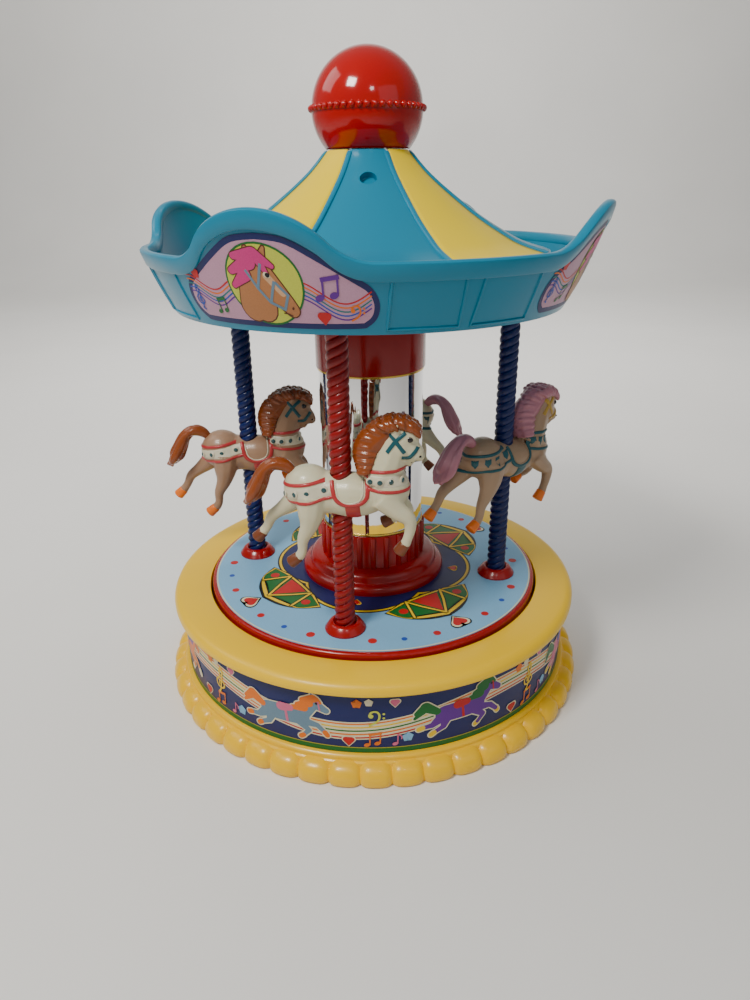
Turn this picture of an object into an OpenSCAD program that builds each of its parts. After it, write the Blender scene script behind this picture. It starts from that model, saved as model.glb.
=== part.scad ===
// Wind-up carousel music box. Axis of the carousel is Z, the table is z = 0, and the front is -Y.
// Angles called az are measured from the front, towards +X.

/* [Base] */
// Outer radius of the scalloped foot
foot_r = 90; // [86:0.5:110]
// Number of scallops round the foot
scallops = 48; // [36:2:60]
// Radius of each scallop
scallop_r = 9; // [8:0.5:11]
// Height of the scalloped foot
foot_h = 8; // [6:0.5:9]
// Radius of the printed frieze
frieze_r = 82.4; // [80:0.1:84]
// Height of the lower edge of the frieze
frieze_z = 10; // [9.5:0.5:12]
// Height of the frieze
frieze_h = 26.8; // [24:0.2:40]
// Wall of the base shell
shell_wall = 2.6; // [2:0.1:4]
// Thickness of the top ring
ring_t = 4.3; // [3.5:0.1:6]
// How far the top ring stands out past the frieze
ring_over = 3.4; // [2:0.1:5]
// Thickness of the printed labels
label_t = 0.3; // [0.2:0.05:0.5]
// Thickness of the bottom cover
cover_t = 2.5; // [2:0.1:4]
// Height of the bottom cover above the table
cover_z = 1; // [0.5:0.1:2]

/* [Deck] */
// Radius of the turning deck
deck_r = 69.7; // [66:0.1:72]
// Gap round the deck
deck_gap = 0.9; // [0.5:0.1:2]
// Thickness of the deck
deck_t = 4; // [3:0.1:6]
// How far the deck stands above the top ring
deck_step = 1.9; // [0.5:0.1:4]
// Radius of the round opening in the label at each pole
boss_recess_r = 7.8; // [7.4:0.1:9]

/* [Poles] */
// Radius of the circle on which the poles stand
pole_circle = 53.5; // [50:0.5:56]
// Angle of the front pole from the front
pole_az = -11.6; // [-45:0.1:45]
// Radius over the crests of the rope twist
pole_r = 3.8; // [3:0.1:4.2]
// How far each pole travels up and down
pole_travel = 8; // [4:0.5:10]
// Height of the front pole above the middle of its travel
lift_front = 3.5; // [-4:0.5:4]
// Height of the right pole above the middle of its travel
lift_right = 0.5; // [-4:0.5:4]
// Height of the back pole above the middle of its travel
lift_back = 0; // [-4:0.5:4]
// Height of the left pole above the middle of its travel
lift_left = -3.5; // [-4:0.5:4]
// Radial clearance of everything that turns or slides on a round bearing
run_gap = 0.05; // [0.02:0.01:0.1]

/* [Horses] */
// Height of the saddle above the deck with a pole in the middle of its travel
saddle_h = 60.3; // [56:0.1:70]
// Half the length of the trunk
trunk_l = 20; // [18:0.5:22]
// Radius of the trunk
trunk_r = 8; // [7:0.1:9]
// Heading of the front horse, from +X
head_front = -8; // [-60:1:60]
// Heading of the right horse, from +X
head_right = 37; // [0:1:120]
// Heading of the back horse, from +X
head_back = 152; // [120:1:240]
// Heading of the left horse, from +X
head_left = 2; // [-60:1:20]

/* [Column] */
// Radius of the mirror tube
column_r = 20.8; // [18:0.1:24]
// Wall of the mirror tube
column_wall = 0.9; // [0.6:0.1:2]
// Radius of the fluted drum of the pedestal
pedestal_r = 22; // [21.5:0.1:26]
// Radius of the foot of the pedestal
flange_r = 30.4; // [28:0.1:33]
// Height of the pedestal above the deck
pedestal_h = 22.8; // [18:0.1:28]
// Number of flutes
flutes = 24; // [16:1:32]
// Length of the bare mirror between the pedestal and the collar
mirror_h = 65.6; // [50:0.1:90]
// Radius of the collar
collar_r = 21.6; // [21.2:0.1:25]
// Height of the collar
collar_h = 25; // [20:0.5:35]
// Height of the gold bands
band_h = 0.9; // [0.5:0.1:2]

/* [Canopy] */
// Radius of the lower edge of the valance
valance_r = 72.1; // [70:0.1:80]
// Wall of the valance
valance_wall = 2.4; // [1.8:0.1:3.5]
// Height of the low rim above the lower edge
rim_h = 21.3; // [18:0.1:26]
// Height of an arch above the lower edge
arch_h = 35.3; // [30:0.1:40]
// Radius of the top of an arch
arch_dome_r = 27; // [24:0.5:30]
// Radius of the hollow where an arch meets the low rim
arch_fillet_r = 18; // [12:0.5:20]
// Angle of the first arch from the front
arch_az = -22.5; // [-45:0.5:45]
// Thickness of the canopy floor
floor_t = 2.4; // [2:0.1:4]
// Wall of the roof
roof_wall = 2; // [1.6:0.1:3]
// Thickness of a yellow roof panel
panel_t = 0.8; // [0.5:0.1:1]
// Height of a roof rib above the roof
rib_h = 1; // [0.6:0.1:1.4]
// Width of a roof rib
rib_w = 1.8; // [1.4:0.1:3]
// Radius of the round dimple in the front of the roof
dimple_r = 2.85; // [2:0.05:3.5]
// Depth of the dimple
dimple_d = 2.4; // [1:0.1:3]

/* [Ball] */
// Radius of the winding ball
ball_r = 19.5; // [17:0.1:21]
// Radius of the grip ring round the ball
bead_r = 1.1; // [0.8:0.05:1.3]
// Wall of the ball
ball_wall = 2; // [1.6:0.1:3]
// Gap between the ball and the roof
ball_gap = 0.4; // [0.3:0.1:1]

/* [Movement] */
// Radius of the winding shaft
shaft_r = 2; // [1.5:0.1:2.5]
// Radius of the spring drum
drum_r = 15; // [14:0.1:15.5]
// Height of the spring drum
drum_h = 14; // [12:0.5:16]
// Thickness of the bedplate
bed_t = 2; // [1.5:0.1:3]
// Radius of the music cylinder
cylinder_r = 6.6; // [6:0.1:7]
// Length of the music cylinder
cylinder_l = 16; // [12:0.5:17]
// Number of teeth in the comb
comb_teeth = 15; // [10:1:18]
// Tooth module of the main gears
gear_m = 1; // [1:0.05:1.05]
// Tooth module of the governor gears
fine_m = 0.8; // [0.75:0.05:0.8]

/* [Hidden] */
smooth = 96;

// Heights, from the table up
frieze_top = frieze_z + frieze_h;
ring_top = frieze_top + ring_t;
deck_top = ring_top + deck_step;
deck_under = deck_top - deck_t;
pedestal_top = deck_top + pedestal_h;
collar_z = pedestal_top + mirror_h;
valance_z = collar_z + collar_h;
floor_top = valance_z + floor_t;
rim_z = valance_z + rim_h;
arch_z = valance_z + arch_h;
cover_top = cover_z + cover_t;

// Base
shell_r = frieze_r - label_t;
shell_in = shell_r - shell_wall;
ring_in = deck_r + deck_gap;
ring_out = frieze_r + ring_over;
post_ring = shell_in - 3;
post_r = 4;
post_h = 24;
screw_r = 1.2;
screw_head_r = 2.8;
screw_head_t = 1.5;
slack = 0.1;

// Poles: azimuth, height above mid travel and heading of the horse
front = [pole_az, lift_front, head_front];
right = [pole_az + 90, lift_right, head_right];
back = [pole_az + 180, lift_back, head_back];
left = [pole_az - 90, lift_left, head_left];
pole_foot_z = cover_top + 14.5;
pole_foot_r = 5.5;
pole_foot_h = 4;
pole_top_z = floor_top + 9;
bush_neck_r = 6;
bush_r = 7.1;
bush_h = 3.8;
bush_drop = 2.5;
cam_gap = 0.4;
cam_wave = pole_travel / 2;
cam_waves = 2;
cam_in = pole_circle - pole_foot_r - 1;
cam_out = pole_circle + pole_foot_r + 1;

// Movement, built up from the bedplate
bed_r = cam_in - 1;
bed_z = cover_top + 2.5;
bed_top = bed_z + bed_t;
ratchet_z = bed_top + 0.3;
ratchet_t = 2;
ratchet_teeth = 12;
ratchet_r = 6;
wheel_z = bed_top + 2;
wheel_t = 1.5;
gear_z = wheel_z + wheel_t + 1.5;
gear_t = 2;
drum_z = gear_z + gear_t;
drum_wall = 1;
cap_t = 1;
drum_top = drum_z + drum_h;
drive_w = 7;
drive_z = drum_top + cap_t;
barrel_teeth = 40;
idler_teeth = 10;
wheel_teeth = 36;
governor_teeth = 9;
contrate_teeth = 36;
mesh_gap = 0.1;
idler_at = 18;
governor_at = 75;
arbor_r = 1;
barrel_pitch_r = gear_m * barrel_teeth / 2;
idler_pitch_r = gear_m * idler_teeth / 2;
wheel_pitch_r = fine_m * wheel_teeth / 2;
governor_pitch_r = fine_m * governor_teeth / 2;
contrate_pitch_r = gear_m * contrate_teeth / 2;
idler_d = barrel_pitch_r + idler_pitch_r + mesh_gap;
governor_d = wheel_pitch_r + governor_pitch_r + mesh_gap;
idler_p = [idler_d * cos(idler_at), idler_d * sin(idler_at)];
governor_p = idler_p + [governor_d * cos(governor_at), governor_d * sin(governor_at)];
bridge_z = drum_z + 8;
bridge_t = 1.5;
fan_z = wheel_z + wheel_t + 1.5;
fan_h = 8;
axle_z = drum_z + 1.1 * gear_m + idler_pitch_r + mesh_gap;
bracket_x = barrel_pitch_r + gear_m + 0.4;
bracket_t = 1;
cylinder_x = bracket_x + bracket_t + 0.5;
outer_bracket_x = cylinder_x + cylinder_l + 0.5;
pin_h = 0.6;
pin_gap = 0.25;
comb_y = cylinder_r + pin_h + pin_gap;
comb_l = 15;
comb_tooth_l = 10;
comb_t = 1;
comb_w = cylinder_l - 2;
bed_screw_ring = 41;
bed_screw_az = [100, 220, 340];
pawl_p = [4.1, -8.7];
pawl_r = 1.9;
pawl_pin_r = 0.9;

// Canopy
valance_out = [[0, 0], [4.9, 10.3], [8.9, 20.3], [11.9, 28.3], [13.7, arch_h]];
roof_eave_r = 66;
roof_top_r = 15.4;
roof_line = [[roof_top_r, 51.3], [19.5, 46.6], [24, 42.3], [32, 36], [41.4, 29.3], [50, 24.2],
    [56.6, 20.9], [roof_eave_r, 18]];
roof_sectors = 8;
roof_step = 360 / roof_sectors;
roof_base = valance_z;
roof_top = roof_base + roof_line[0][1];
dimple_at = 2;
rib_gap = 0.6;
canopy_post_ring = 60;
canopy_post_h = 6;
roof_post_r = 3;
roof_post_h = 18.05;

// Ball
ball_z = roof_top + ball_gap + sqrt(ball_r * ball_r - roof_top_r * roof_top_r * 0.92);
shaft_top = ball_z + 4;

// ---------- helpers ----------
module at_az(az, r) {
    rotate([0, 0, az]) translate([0, -r, 0]) children();
}

module tube(r, bore, h) {
    difference() {
        cylinder(r = r, h = h, $fn = smooth);
        translate([0, 0, -1]) cylinder(r = bore, h = h + 2, $fn = smooth);
    }
}

// A gear outline with straight-sided teeth; a tooth is centred on +X
module gear_shape(m, n) {
    r = m * n / 2;
    root = r - 1.1 * m;
    tip = r + 0.8 * m;
    circle(r = root, $fn = smooth);
    for (i = [0:n - 1]) rotate(i * 360 / n)
        polygon([[root - 0.3 * m, -1.0 * m], [root, -0.95 * m], [tip, -0.3 * m], [tip, 0.3 * m],
            [root, 0.95 * m], [root - 0.3 * m, 1.0 * m]]);
}

module screw(len) {
    cylinder(r = screw_head_r, h = screw_head_t, $fn = 32);
    translate([0, 0, screw_head_t]) cylinder(r = screw_r, h = len, $fn = 24);
}

// ---------- base ----------
module base_shell() {
    color("gold") difference() {
        union() {
            linear_extrude(foot_h) for (i = [0:scallops - 1]) rotate(i * 360 / scallops)
                translate([foot_r - scallop_r, 0]) circle(r = scallop_r, $fn = 48);
            rotate_extrude($fn = smooth)
                polygon([[foot_r - 2 * scallop_r, 0], [foot_r - scallop_r, 0], [foot_r - 3, foot_h],
                    [frieze_r + 1.4, frieze_z], [shell_in, frieze_z], [shell_in, foot_h]]);
            cylinder(r = shell_r, h = frieze_top, $fn = smooth);
        }
        translate([0, 0, -1]) cylinder(r = shell_in, h = frieze_top + 2, $fn = smooth);
    }
    color("gold") for (i = [0:3]) at_az(45 + i * 90, post_ring) translate([0, 0, cover_top])
        tube(post_r, screw_r, post_h);
}

module top_ring() {
    round_r = 2.4;
    color("yellow") rotate_extrude($fn = smooth) {
        difference() {
            translate([ring_in, frieze_top]) square([ring_out - ring_in, ring_t]);
            translate([ring_out - round_r, ring_top - round_r]) difference() {
                square(round_r + 1);
                circle(r = round_r, $fn = 48);
            }
        }
        translate([ring_in, frieze_top - 6]) square([2, 7]);
        translate([shell_in - slack - 2, frieze_top - 4]) square([2, 5]);
    }
}

module frieze_band() {
    color("navy") translate([0, 0, frieze_z]) tube(frieze_r, shell_r, frieze_h);
}

module bottom_cover() {
    color("goldenrod") difference() {
        union() {
            translate([0, 0, cover_z]) cylinder(r = shell_in - slack, h = cover_t, $fn = smooth);
            for (a = bed_screw_az) rotate([0, 0, a]) translate([bed_screw_ring, 0, cover_z])
                cylinder(r = post_r, h = bed_z - cover_z, $fn = 48);
        }
        for (i = [0:3]) at_az(45 + i * 90, post_ring) {
            cylinder(r = screw_r + slack, h = cover_top + 1, $fn = 24);
            translate([0, 0, -1]) cylinder(r = screw_head_r + slack, h = cover_z + screw_head_t + 1, $fn = 32);
        }
        for (a = bed_screw_az) rotate([0, 0, a]) translate([bed_screw_ring, 0, cover_z + 0.8])
            cylinder(r = screw_r, h = bed_z, $fn = 24);
    }
}

module cover_screws() {
    color("silver") for (i = [0:3]) at_az(45 + i * 90, post_ring) translate([0, 0, cover_z]) screw(8);
}

// Wavy track under the feet of the poles
function cam_top(a) = pole_foot_z - pole_travel / 2 - cam_gap - cam_wave + cam_wave * cos(cam_waves * a);
module cam_track() {
    steps = 72;
    ring = [for (i = [0:steps - 1]) i * 360 / steps];
    points = concat([for (a = ring) [cam_in * cos(a), cam_in * sin(a), cover_top]],
        [for (a = ring) [cam_out * cos(a), cam_out * sin(a), cover_top]],
        [for (a = ring) [cam_out * cos(a), cam_out * sin(a), cam_top(a)]],
        [for (a = ring) [cam_in * cos(a), cam_in * sin(a), cam_top(a)]]);
    faces = [for (i = [0:steps - 1], k = [0:3]) let (j = (i + 1) % steps, n = (k + 1) % 4)
        [k * steps + i, n * steps + i, n * steps + j, k * steps + j]];
    color("ivory") polyhedron(points = points, faces = faces);
}

// ---------- movement ----------
module bedplate() {
    color("silver") translate([0, 0, bed_z]) difference() {
        cylinder(r = bed_r, h = bed_t, $fn = smooth);
        translate([0, 0, -1]) cylinder(r = shaft_r + run_gap, h = bed_t + 2, $fn = 48);
        translate([idler_p[0], idler_p[1], -1]) cylinder(r = arbor_r + run_gap, h = bed_t + 2, $fn = 32);
        translate([governor_p[0], governor_p[1], -1]) cylinder(r = arbor_r + run_gap, h = bed_t + 2, $fn = 32);
        for (a = bed_screw_az) rotate([0, 0, a]) translate([bed_screw_ring, 0, -1])
            cylinder(r = screw_r + slack, h = bed_t + 2, $fn = 24);
    }
}

module bedplate_screws() {
    color("silver") for (a = bed_screw_az) rotate([0, 0, a])
        translate([bed_screw_ring, 0, bed_top + screw_head_t]) mirror([0, 0, 1]) screw(5);
}

module cylinder_bracket(x) {
    translate([-x - bracket_t, -3, bed_top]) difference() {
        union() {
            cube([bracket_t, 6, axle_z - bed_top + 3]);
            cube([bracket_t, 11, 2.5]);
        }
        translate([-1, 3, axle_z - bed_top]) rotate([0, 90, 0])
            cylinder(r = arbor_r + run_gap, h = bracket_t + 2, $fn = 32);
    }
}

module cylinder_brackets() {
    color("silver") {
        cylinder_bracket(bracket_x);
        cylinder_bracket(outer_bracket_x);
    }
}

module music_comb() {
    pitch = comb_w / comb_teeth;
    slot = 0.3;
    color("lightsteelblue") translate([-cylinder_x - cylinder_l + 1, comb_y, axle_z - comb_t / 2]) difference() {
        cube([comb_w, comb_l, comb_t]);
        for (i = [1:comb_teeth - 1]) translate([i * pitch - slot / 2, -1, -1])
            cube([slot, comb_tooth_l + 1, comb_t + 2]);
        for (i = [0.25, 0.75]) translate([i * comb_w, comb_l - 3, -1])
            cylinder(r = screw_r + slack, h = comb_t + 2, $fn = 24);
    }
}

module comb_block() {
    color("dimgray") translate([-cylinder_x - cylinder_l + 1, comb_y + comb_l - 6, bed_top]) difference() {
        cube([comb_w, 6, axle_z - comb_t / 2 - bed_top]);
        for (i = [0.25, 0.75]) translate([i * comb_w, 3, axle_z - bed_top - 8]) cylinder(r = screw_r, h = 9, $fn = 24);
    }
}

module comb_screws() {
    color("silver") for (i = [0.25, 0.75])
        translate([-cylinder_x - cylinder_l + 1 + i * comb_w, comb_y + comb_l - 3,
            axle_z + comb_t / 2 + screw_head_t]) mirror([0, 0, 1]) screw(6);
}

// Plate that holds the upper ends of the idler and governor arbors, on two posts
module train_bridge() {
    arm_r = 2.6;
    out = governor_p / norm(governor_p);
    post_a = idler_p + [12.6, -15.4];
    post_b = governor_p + [-out[1], out[0]] * 9.3;
    color("silver") difference() {
        union() {
            translate([0, 0, bridge_z]) linear_extrude(bridge_t)
                for (p = [[post_a, idler_p], [idler_p, governor_p], [governor_p, post_b]]) {
                    d = p[1] - p[0];
                    translate(p[0]) rotate(atan2(d[1], d[0])) translate([0, -arm_r]) square([norm(d), 2 * arm_r]);
                    translate(p[0]) circle(r = arm_r, $fn = 32);
                    translate(p[1]) circle(r = arm_r, $fn = 32);
                }
            for (p = [post_a, post_b]) translate([p[0], p[1], bed_top])
                cylinder(r = 1.8, h = bridge_z - bed_top + bridge_t / 2, $fn = 32);
        }
        for (p = [idler_p, governor_p]) translate([p[0], p[1], bridge_z - 1])
            cylinder(r = arbor_r + run_gap, h = bridge_t + 2, $fn = 32);
    }
}

module spring_barrel() {
    color("goldenrod") difference() {
        union() {
            translate([0, 0, gear_z]) linear_extrude(gear_t) gear_shape(gear_m, barrel_teeth);
            translate([0, 0, drum_z - gear_t]) cylinder(r = drum_r, h = drum_h + gear_t, $fn = smooth);
            for (i = [0:contrate_teeth - 1]) rotate([0, 0, i * 360 / contrate_teeth])
                translate([contrate_pitch_r + 1.2, 0, drum_z]) rotate([90, 0, -90]) linear_extrude(2.4)
                    polygon([[-0.95 * gear_m, -0.3], [-0.95 * gear_m, 0], [-0.3 * gear_m, 1.9 * gear_m],
                        [0.3 * gear_m, 1.9 * gear_m], [0.95 * gear_m, 0], [0.95 * gear_m, -0.3]]);
        }
        translate([0, 0, drum_z + drum_wall - gear_t / 2]) cylinder(r = drum_r - drum_wall, h = drum_h + 5, $fn = smooth);
        translate([0, 0, gear_z - 1]) cylinder(r = shaft_r + run_gap, h = 10, $fn = 48);
    }
}

module barrel_cap() {
    color("gold") translate([0, 0, drum_top]) difference() {
        union() {
            cylinder(r = drum_r, h = cap_t, $fn = smooth);
            translate([-drive_w / 2, -drive_w / 2, 0]) cube([drive_w, drive_w, deck_under - drum_top]);
        }
        translate([0, 0, -1]) cylinder(r = shaft_r + run_gap, h = 20, $fn = 48);
    }
}

// Flat spiral from the hook on the shaft out to the wall of the drum
module mainspring() {
    turns = 7;
    per_turn = 24;
    strip = 0.35;
    r0 = shaft_r + 3;
    r1 = drum_r - drum_wall - strip - 0.1;
    n = turns * per_turn;
    function spiral(i, off) = let (r = r0 + (r1 - r0) * i / n + off, a = i * 360 / per_turn) [r * cos(a), r * sin(a)];
    color("slategray") translate([0, 0, drum_z + drum_wall]) linear_extrude(drum_h - drum_wall - 1.5)
        polygon(concat([for (i = [0:n]) spiral(i, 0)], [for (i = [n:-1:0]) spiral(i, strip)]));
}

module winding_shaft() {
    color("silver") {
        translate([0, 0, cover_top + 1]) cylinder(r = shaft_r, h = shaft_top - cover_top - 1, $fn = 48);
        translate([0, 0, drum_z + drum_wall]) cylinder(r = shaft_r + 2, h = drum_h - drum_wall - 1.5, $fn = 48);
    }
}

// Saw teeth that let the shaft turn only one way
module ratchet_wheel() {
    step = 360 / ratchet_teeth;
    color("silver") translate([0, 0, ratchet_z]) linear_extrude(ratchet_t) difference() {
        polygon([for (i = [0:ratchet_teeth - 1], k = [0, 1])
            (k == 0 ? ratchet_r : ratchet_r - 1.4) * [cos(i * step + k), sin(i * step + k)]]);
        circle(r = shaft_r, $fn = 48);
    }
}

// Pawl whose beak lies behind a tooth of the ratchet wheel
module ratchet_pawl() {
    color("dimgray") translate([0, 0, ratchet_z]) linear_extrude(ratchet_t) difference() {
        union() {
            translate(pawl_p) circle(r = pawl_r, $fn = 32);
            polygon([[-2.3, -4.75], [-2.75, -5.75], [-1.3, -7.6], pawl_p - [0.5, 1.5],
                pawl_p + [0.5, 1.5], [0.3, -6.6], [-1.2, -6]]);
        }
        translate(pawl_p) circle(r = pawl_pin_r + run_gap, $fn = 32);
    }
}

module pawl_post() {
    color("silver") translate([pawl_p[0], pawl_p[1], bed_top]) {
        cylinder(r = pawl_pin_r, h = ratchet_t + 0.6, $fn = 32);
        translate([0, 0, ratchet_t + 0.6]) cylinder(r = pawl_r, h = 0.6, $fn = 32);
    }
}

module music_cylinder() {
    pins = 2;
    pitch = comb_w / comb_teeth;
    color("goldenrod") translate([-cylinder_x, 0, axle_z]) rotate([0, -90, 0]) {
        cylinder(r = cylinder_r, h = cylinder_l, $fn = smooth);
        translate([0, 0, -cylinder_x + contrate_pitch_r - 1]) cylinder(r = arbor_r,
            h = cylinder_l + cylinder_x - contrate_pitch_r + 2.6, $fn = 32);
        for (i = [0:comb_teeth - 1], k = [0:pins - 1]) rotate([0, 0, (i * 137 + k * 160) % 300 + 110])
            translate([cylinder_r - 0.3, -0.15, 1 + (i + 0.5) * pitch - 0.15]) cube([0.3 + pin_h, 0.3, 0.3]);
    }
}

module cylinder_pinion() {
    color("goldenrod") translate([-contrate_pitch_r + 0.9, 0, axle_z]) rotate([0, -90, 0])
        rotate([0, 0, 180 / idler_teeth]) linear_extrude(1.8) difference() {
            gear_shape(gear_m, idler_teeth);
            circle(r = arbor_r, $fn = 32);
        }
}

module idler_wheel() {
    color("khaki") translate([idler_p[0], idler_p[1], 0]) {
        translate([0, 0, wheel_z]) rotate([0, 0, governor_at]) linear_extrude(wheel_t) difference() {
            gear_shape(fine_m, wheel_teeth);
            circle(r = arbor_r, $fn = 32);
        }
        translate([0, 0, wheel_z + wheel_t]) rotate([0, 0, idler_at + 180 + 180 / idler_teeth])
            linear_extrude(gear_z + gear_t - wheel_z - wheel_t) difference() {
                gear_shape(gear_m, idler_teeth);
                circle(r = arbor_r, $fn = 32);
            }
    }
}

module idler_arbor() {
    color("silver") translate([idler_p[0], idler_p[1], cover_top + 1])
        cylinder(r = arbor_r, h = bridge_z + bridge_t - cover_top - 1, $fn = 32);
}

module governor_pinion() {
    color("khaki") translate([governor_p[0], governor_p[1], wheel_z])
        rotate([0, 0, governor_at + 180 + 180 / governor_teeth]) linear_extrude(wheel_t) difference() {
            gear_shape(fine_m, governor_teeth);
            circle(r = arbor_r, $fn = 32);
        }
}

module governor_fan() {
    color("silver") translate([governor_p[0], governor_p[1], 0]) {
        translate([0, 0, cover_top + 1]) cylinder(r = arbor_r, h = bridge_z + bridge_t - cover_top - 1, $fn = 32);
        translate([-6.3, -0.3, fan_z]) cube([12.6, 0.6, fan_h]);
    }
}

// ---------- deck ----------
module deck() {
    color("crimson") difference() {
        union() {
            rotate_extrude($fn = smooth) difference() {
                translate([0, deck_under]) square([deck_r, deck_t]);
                translate([deck_r - 1.2, deck_top - 1.2]) difference() {
                    square(2);
                    circle(r = 1.2, $fn = 32);
                }
            }
            translate([0, 0, drive_z + 1]) cylinder(r = 9, h = deck_under - drive_z, $fn = smooth);
        }
        translate([-drive_w / 2, -drive_w / 2, 0]) cube([drive_w, drive_w, deck_under]);
        cylinder(r = shaft_r + run_gap, h = deck_top + 1, $fn = 48);
        for (i = [0:3]) at_az(pole_az + i * 90, pole_circle) cylinder(r = bush_neck_r, h = deck_top + 1, $fn = 48);
        for (i = [0:2]) at_az(i * 120, flange_r - 5) cylinder(r = screw_r + slack, h = deck_top + 1, $fn = 24);
    }
}

module deck_label() {
    color("skyblue") translate([0, 0, deck_top]) difference() {
        cylinder(r = deck_r - 1.7, h = label_t, $fn = smooth);
        translate([0, 0, -1]) cylinder(r = flange_r, h = 3, $fn = smooth);
        for (i = [0:3]) at_az(pole_az + i * 90, pole_circle) translate([0, 0, -1])
            cylinder(r = boss_recess_r, h = 3, $fn = 48);
    }
}

module deck_screws() {
    color("silver") for (i = [0:2]) at_az(i * 120, flange_r - 5)
        translate([0, 0, deck_under - screw_head_t]) screw(7);
}

// Bush that guides a pole through the deck, with a rounded rim above it
module pole_bushes() {
    bore = pole_r + run_gap;
    color("red") for (i = [0:3]) at_az(pole_az + i * 90, pole_circle) rotate_extrude($fn = 64) {
        translate([bore, deck_under - bush_drop]) square([bush_neck_r - bore, deck_t + bush_drop]);
        difference() {
            translate([bore, deck_top]) square([bush_r - bore, bush_h]);
            translate([bush_r - 2, deck_top + bush_h - 2]) difference() {
                square(3);
                circle(r = 2, $fn = 32);
            }
            translate([bore, deck_top + bush_h]) circle(r = 0.9, $fn = 32);
        }
    }
}

// ---------- poles and horses ----------
module pole(p) {
    at_az(p[0], pole_circle) translate([0, 0, p[1]]) {
        translate([0, 0, pole_foot_z]) cylinder(r = pole_r, h = pole_top_z - pole_foot_z, $fn = 48);
        translate([0, 0, pole_foot_z]) cylinder(r = pole_foot_r, h = pole_foot_h, $fn = 48);
    }
}

module pole_front() { color("firebrick") pole(front); }
module pole_right() { color("mediumblue") pole(right); }
module pole_back() { color("firebrick") pole(back); }
module pole_left() { color("mediumblue") pole(left); }

// Balls joined by one smooth skin; each ball is a point and a radius
module skin(balls) {
    hull() for (b = balls) translate(b[0]) sphere(r = b[1], $fn = 12);
}

// A leaping horse, nose towards +X, with its saddle at the origin and the pole through it
module horse_body() {
    difference() {
        union() {
            translate([3, 0, -trunk_r - 0.5]) rotate([0, 90, 0]) rotate_extrude($fn = 48)
                polygon([for (i = [0:12]) let (a = -90 + i * 15) [trunk_r * cos(a), trunk_l * sin(a)]]);
            skin([[[15, 0, -6], 6], [[16, 0, 15], 4.6], [[20, 0, 14], 4.6]]);
            skin([[[19, 0, 14], 4.6], [[27.5, 0, 6], 3]]);
            skin([[[-15, 0, -3], 2.4], [[-25, 0, 0], 3], [[-31.5, 0, -12], 2.6]]);
            skin([[[-12, 4, -9], 5], [[-21, 4.5, -19], 2.6], [[-29, 4.5, -24.5], 2.2]]);
            skin([[[-12, -4, -9], 5], [[-13, -4.5, -22], 2.6], [[-17.5, -4.5, -31], 2.2]]);
            skin([[[18, 4, -8], 4], [[24.5, 4, -15], 2.2], [[19.5, 4, -22], 2]]);
            skin([[[18, -4, -8], 4], [[24.5, -4, -16.5], 2.2], [[20.5, -4, -26], 2]]);
        }
        translate([0, 0, -60]) cylinder(r = pole_r + run_gap, h = 120, $fn = 48);
    }
}

module horse(p) {
    at_az(p[0], pole_circle) rotate([0, 0, p[2] - p[0]]) translate([0, 0, deck_top + saddle_h + p[1]]) horse_body();
}

module horse_front() { color("ivory") horse(front); }
module horse_right() { color("tan") horse(right); }
module horse_back() { color("ivory") horse(back); }
module horse_left() { color("burlywood") horse(left); }

// ---------- column ----------
module pedestal() {
    inner = column_r - column_wall;
    color("red") difference() {
        union() {
            translate([0, 0, deck_top]) rotate_extrude($fn = smooth)
                polygon([[inner, 0], [flange_r, 0], [flange_r, 3], [flange_r - 1, 4.2], [flange_r - 3, 4.6],
                    [flange_r - 3.4, 7], [flange_r - 5, 8.2], [pedestal_r + 1.4, 8.6], [pedestal_r, 10],
                    [pedestal_r, pedestal_h], [inner, pedestal_h]]);
        }
        translate([0, 0, deck_top + 6]) cylinder(r = column_r, h = pedestal_h, $fn = smooth);
        for (i = [0:flutes - 1]) rotate([0, 0, i * 360 / flutes]) translate([pedestal_r + 0.6, 0, deck_top + 10.5])
            cylinder(r = 1.3, h = pedestal_h, $fn = 24);
        for (i = [0:2]) at_az(i * 120, flange_r - 5) translate([0, 0, deck_top - 1]) cylinder(r = screw_r, h = 6, $fn = 24);
    }
}

module mirror_tube() {
    color("silver") translate([0, 0, deck_top + 6])
        tube(column_r, column_r - column_wall, valance_z - deck_top - 6 - slack);
}

module gold_bands() {
    color("gold") {
        translate([0, 0, pedestal_top]) tube(column_r + 0.4, column_r, band_h);
        translate([0, 0, collar_z - band_h]) tube(column_r + 0.4, column_r, band_h);
    }
}

module collar() {
    color("red") translate([0, 0, collar_z]) tube(collar_r, column_r, collar_h);
}

// ---------- canopy ----------
// The valance in section, from radius and height; inner side first
function valance_pt(i, off) = [valance_r + valance_out[i][0] - off, valance_z + valance_out[i][1]];
module valance_section(inner, outer) {
    n = len(valance_out) - 1;
    polygon(concat([for (i = [0:n]) valance_pt(i, inner)], [for (i = [n:-1:0]) valance_pt(i, outer)]));
}

// Outline of an arch seen from outside: a round top that runs into the low rim
module arch_outline(grow) {
    dome = arch_dome_r + grow;
    fillet = arch_fillet_r - grow;
    centre = arch_z - arch_dome_r;
    rise = rim_z + arch_fillet_r - centre;
    reach = sqrt(pow(arch_dome_r + arch_fillet_r, 2) - rise * rise);
    join = centre + rise * dome / (arch_dome_r + arch_fillet_r);
    translate([0, centre]) circle(r = dome, $fn = smooth);
    difference() {
        translate([1 - reach, valance_z - 1]) square([2 * reach - 2, join - valance_z]);
        for (s = [-1, 1]) translate([s * reach, rim_z + arch_fillet_r]) circle(r = fillet, $fn = smooth);
    }
}

module arch_prism(az, grow) {
    rotate([0, 0, az]) translate([0, -50, 0]) rotate([90, 0, 0]) linear_extrude(60) arch_outline(grow);
}

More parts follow.
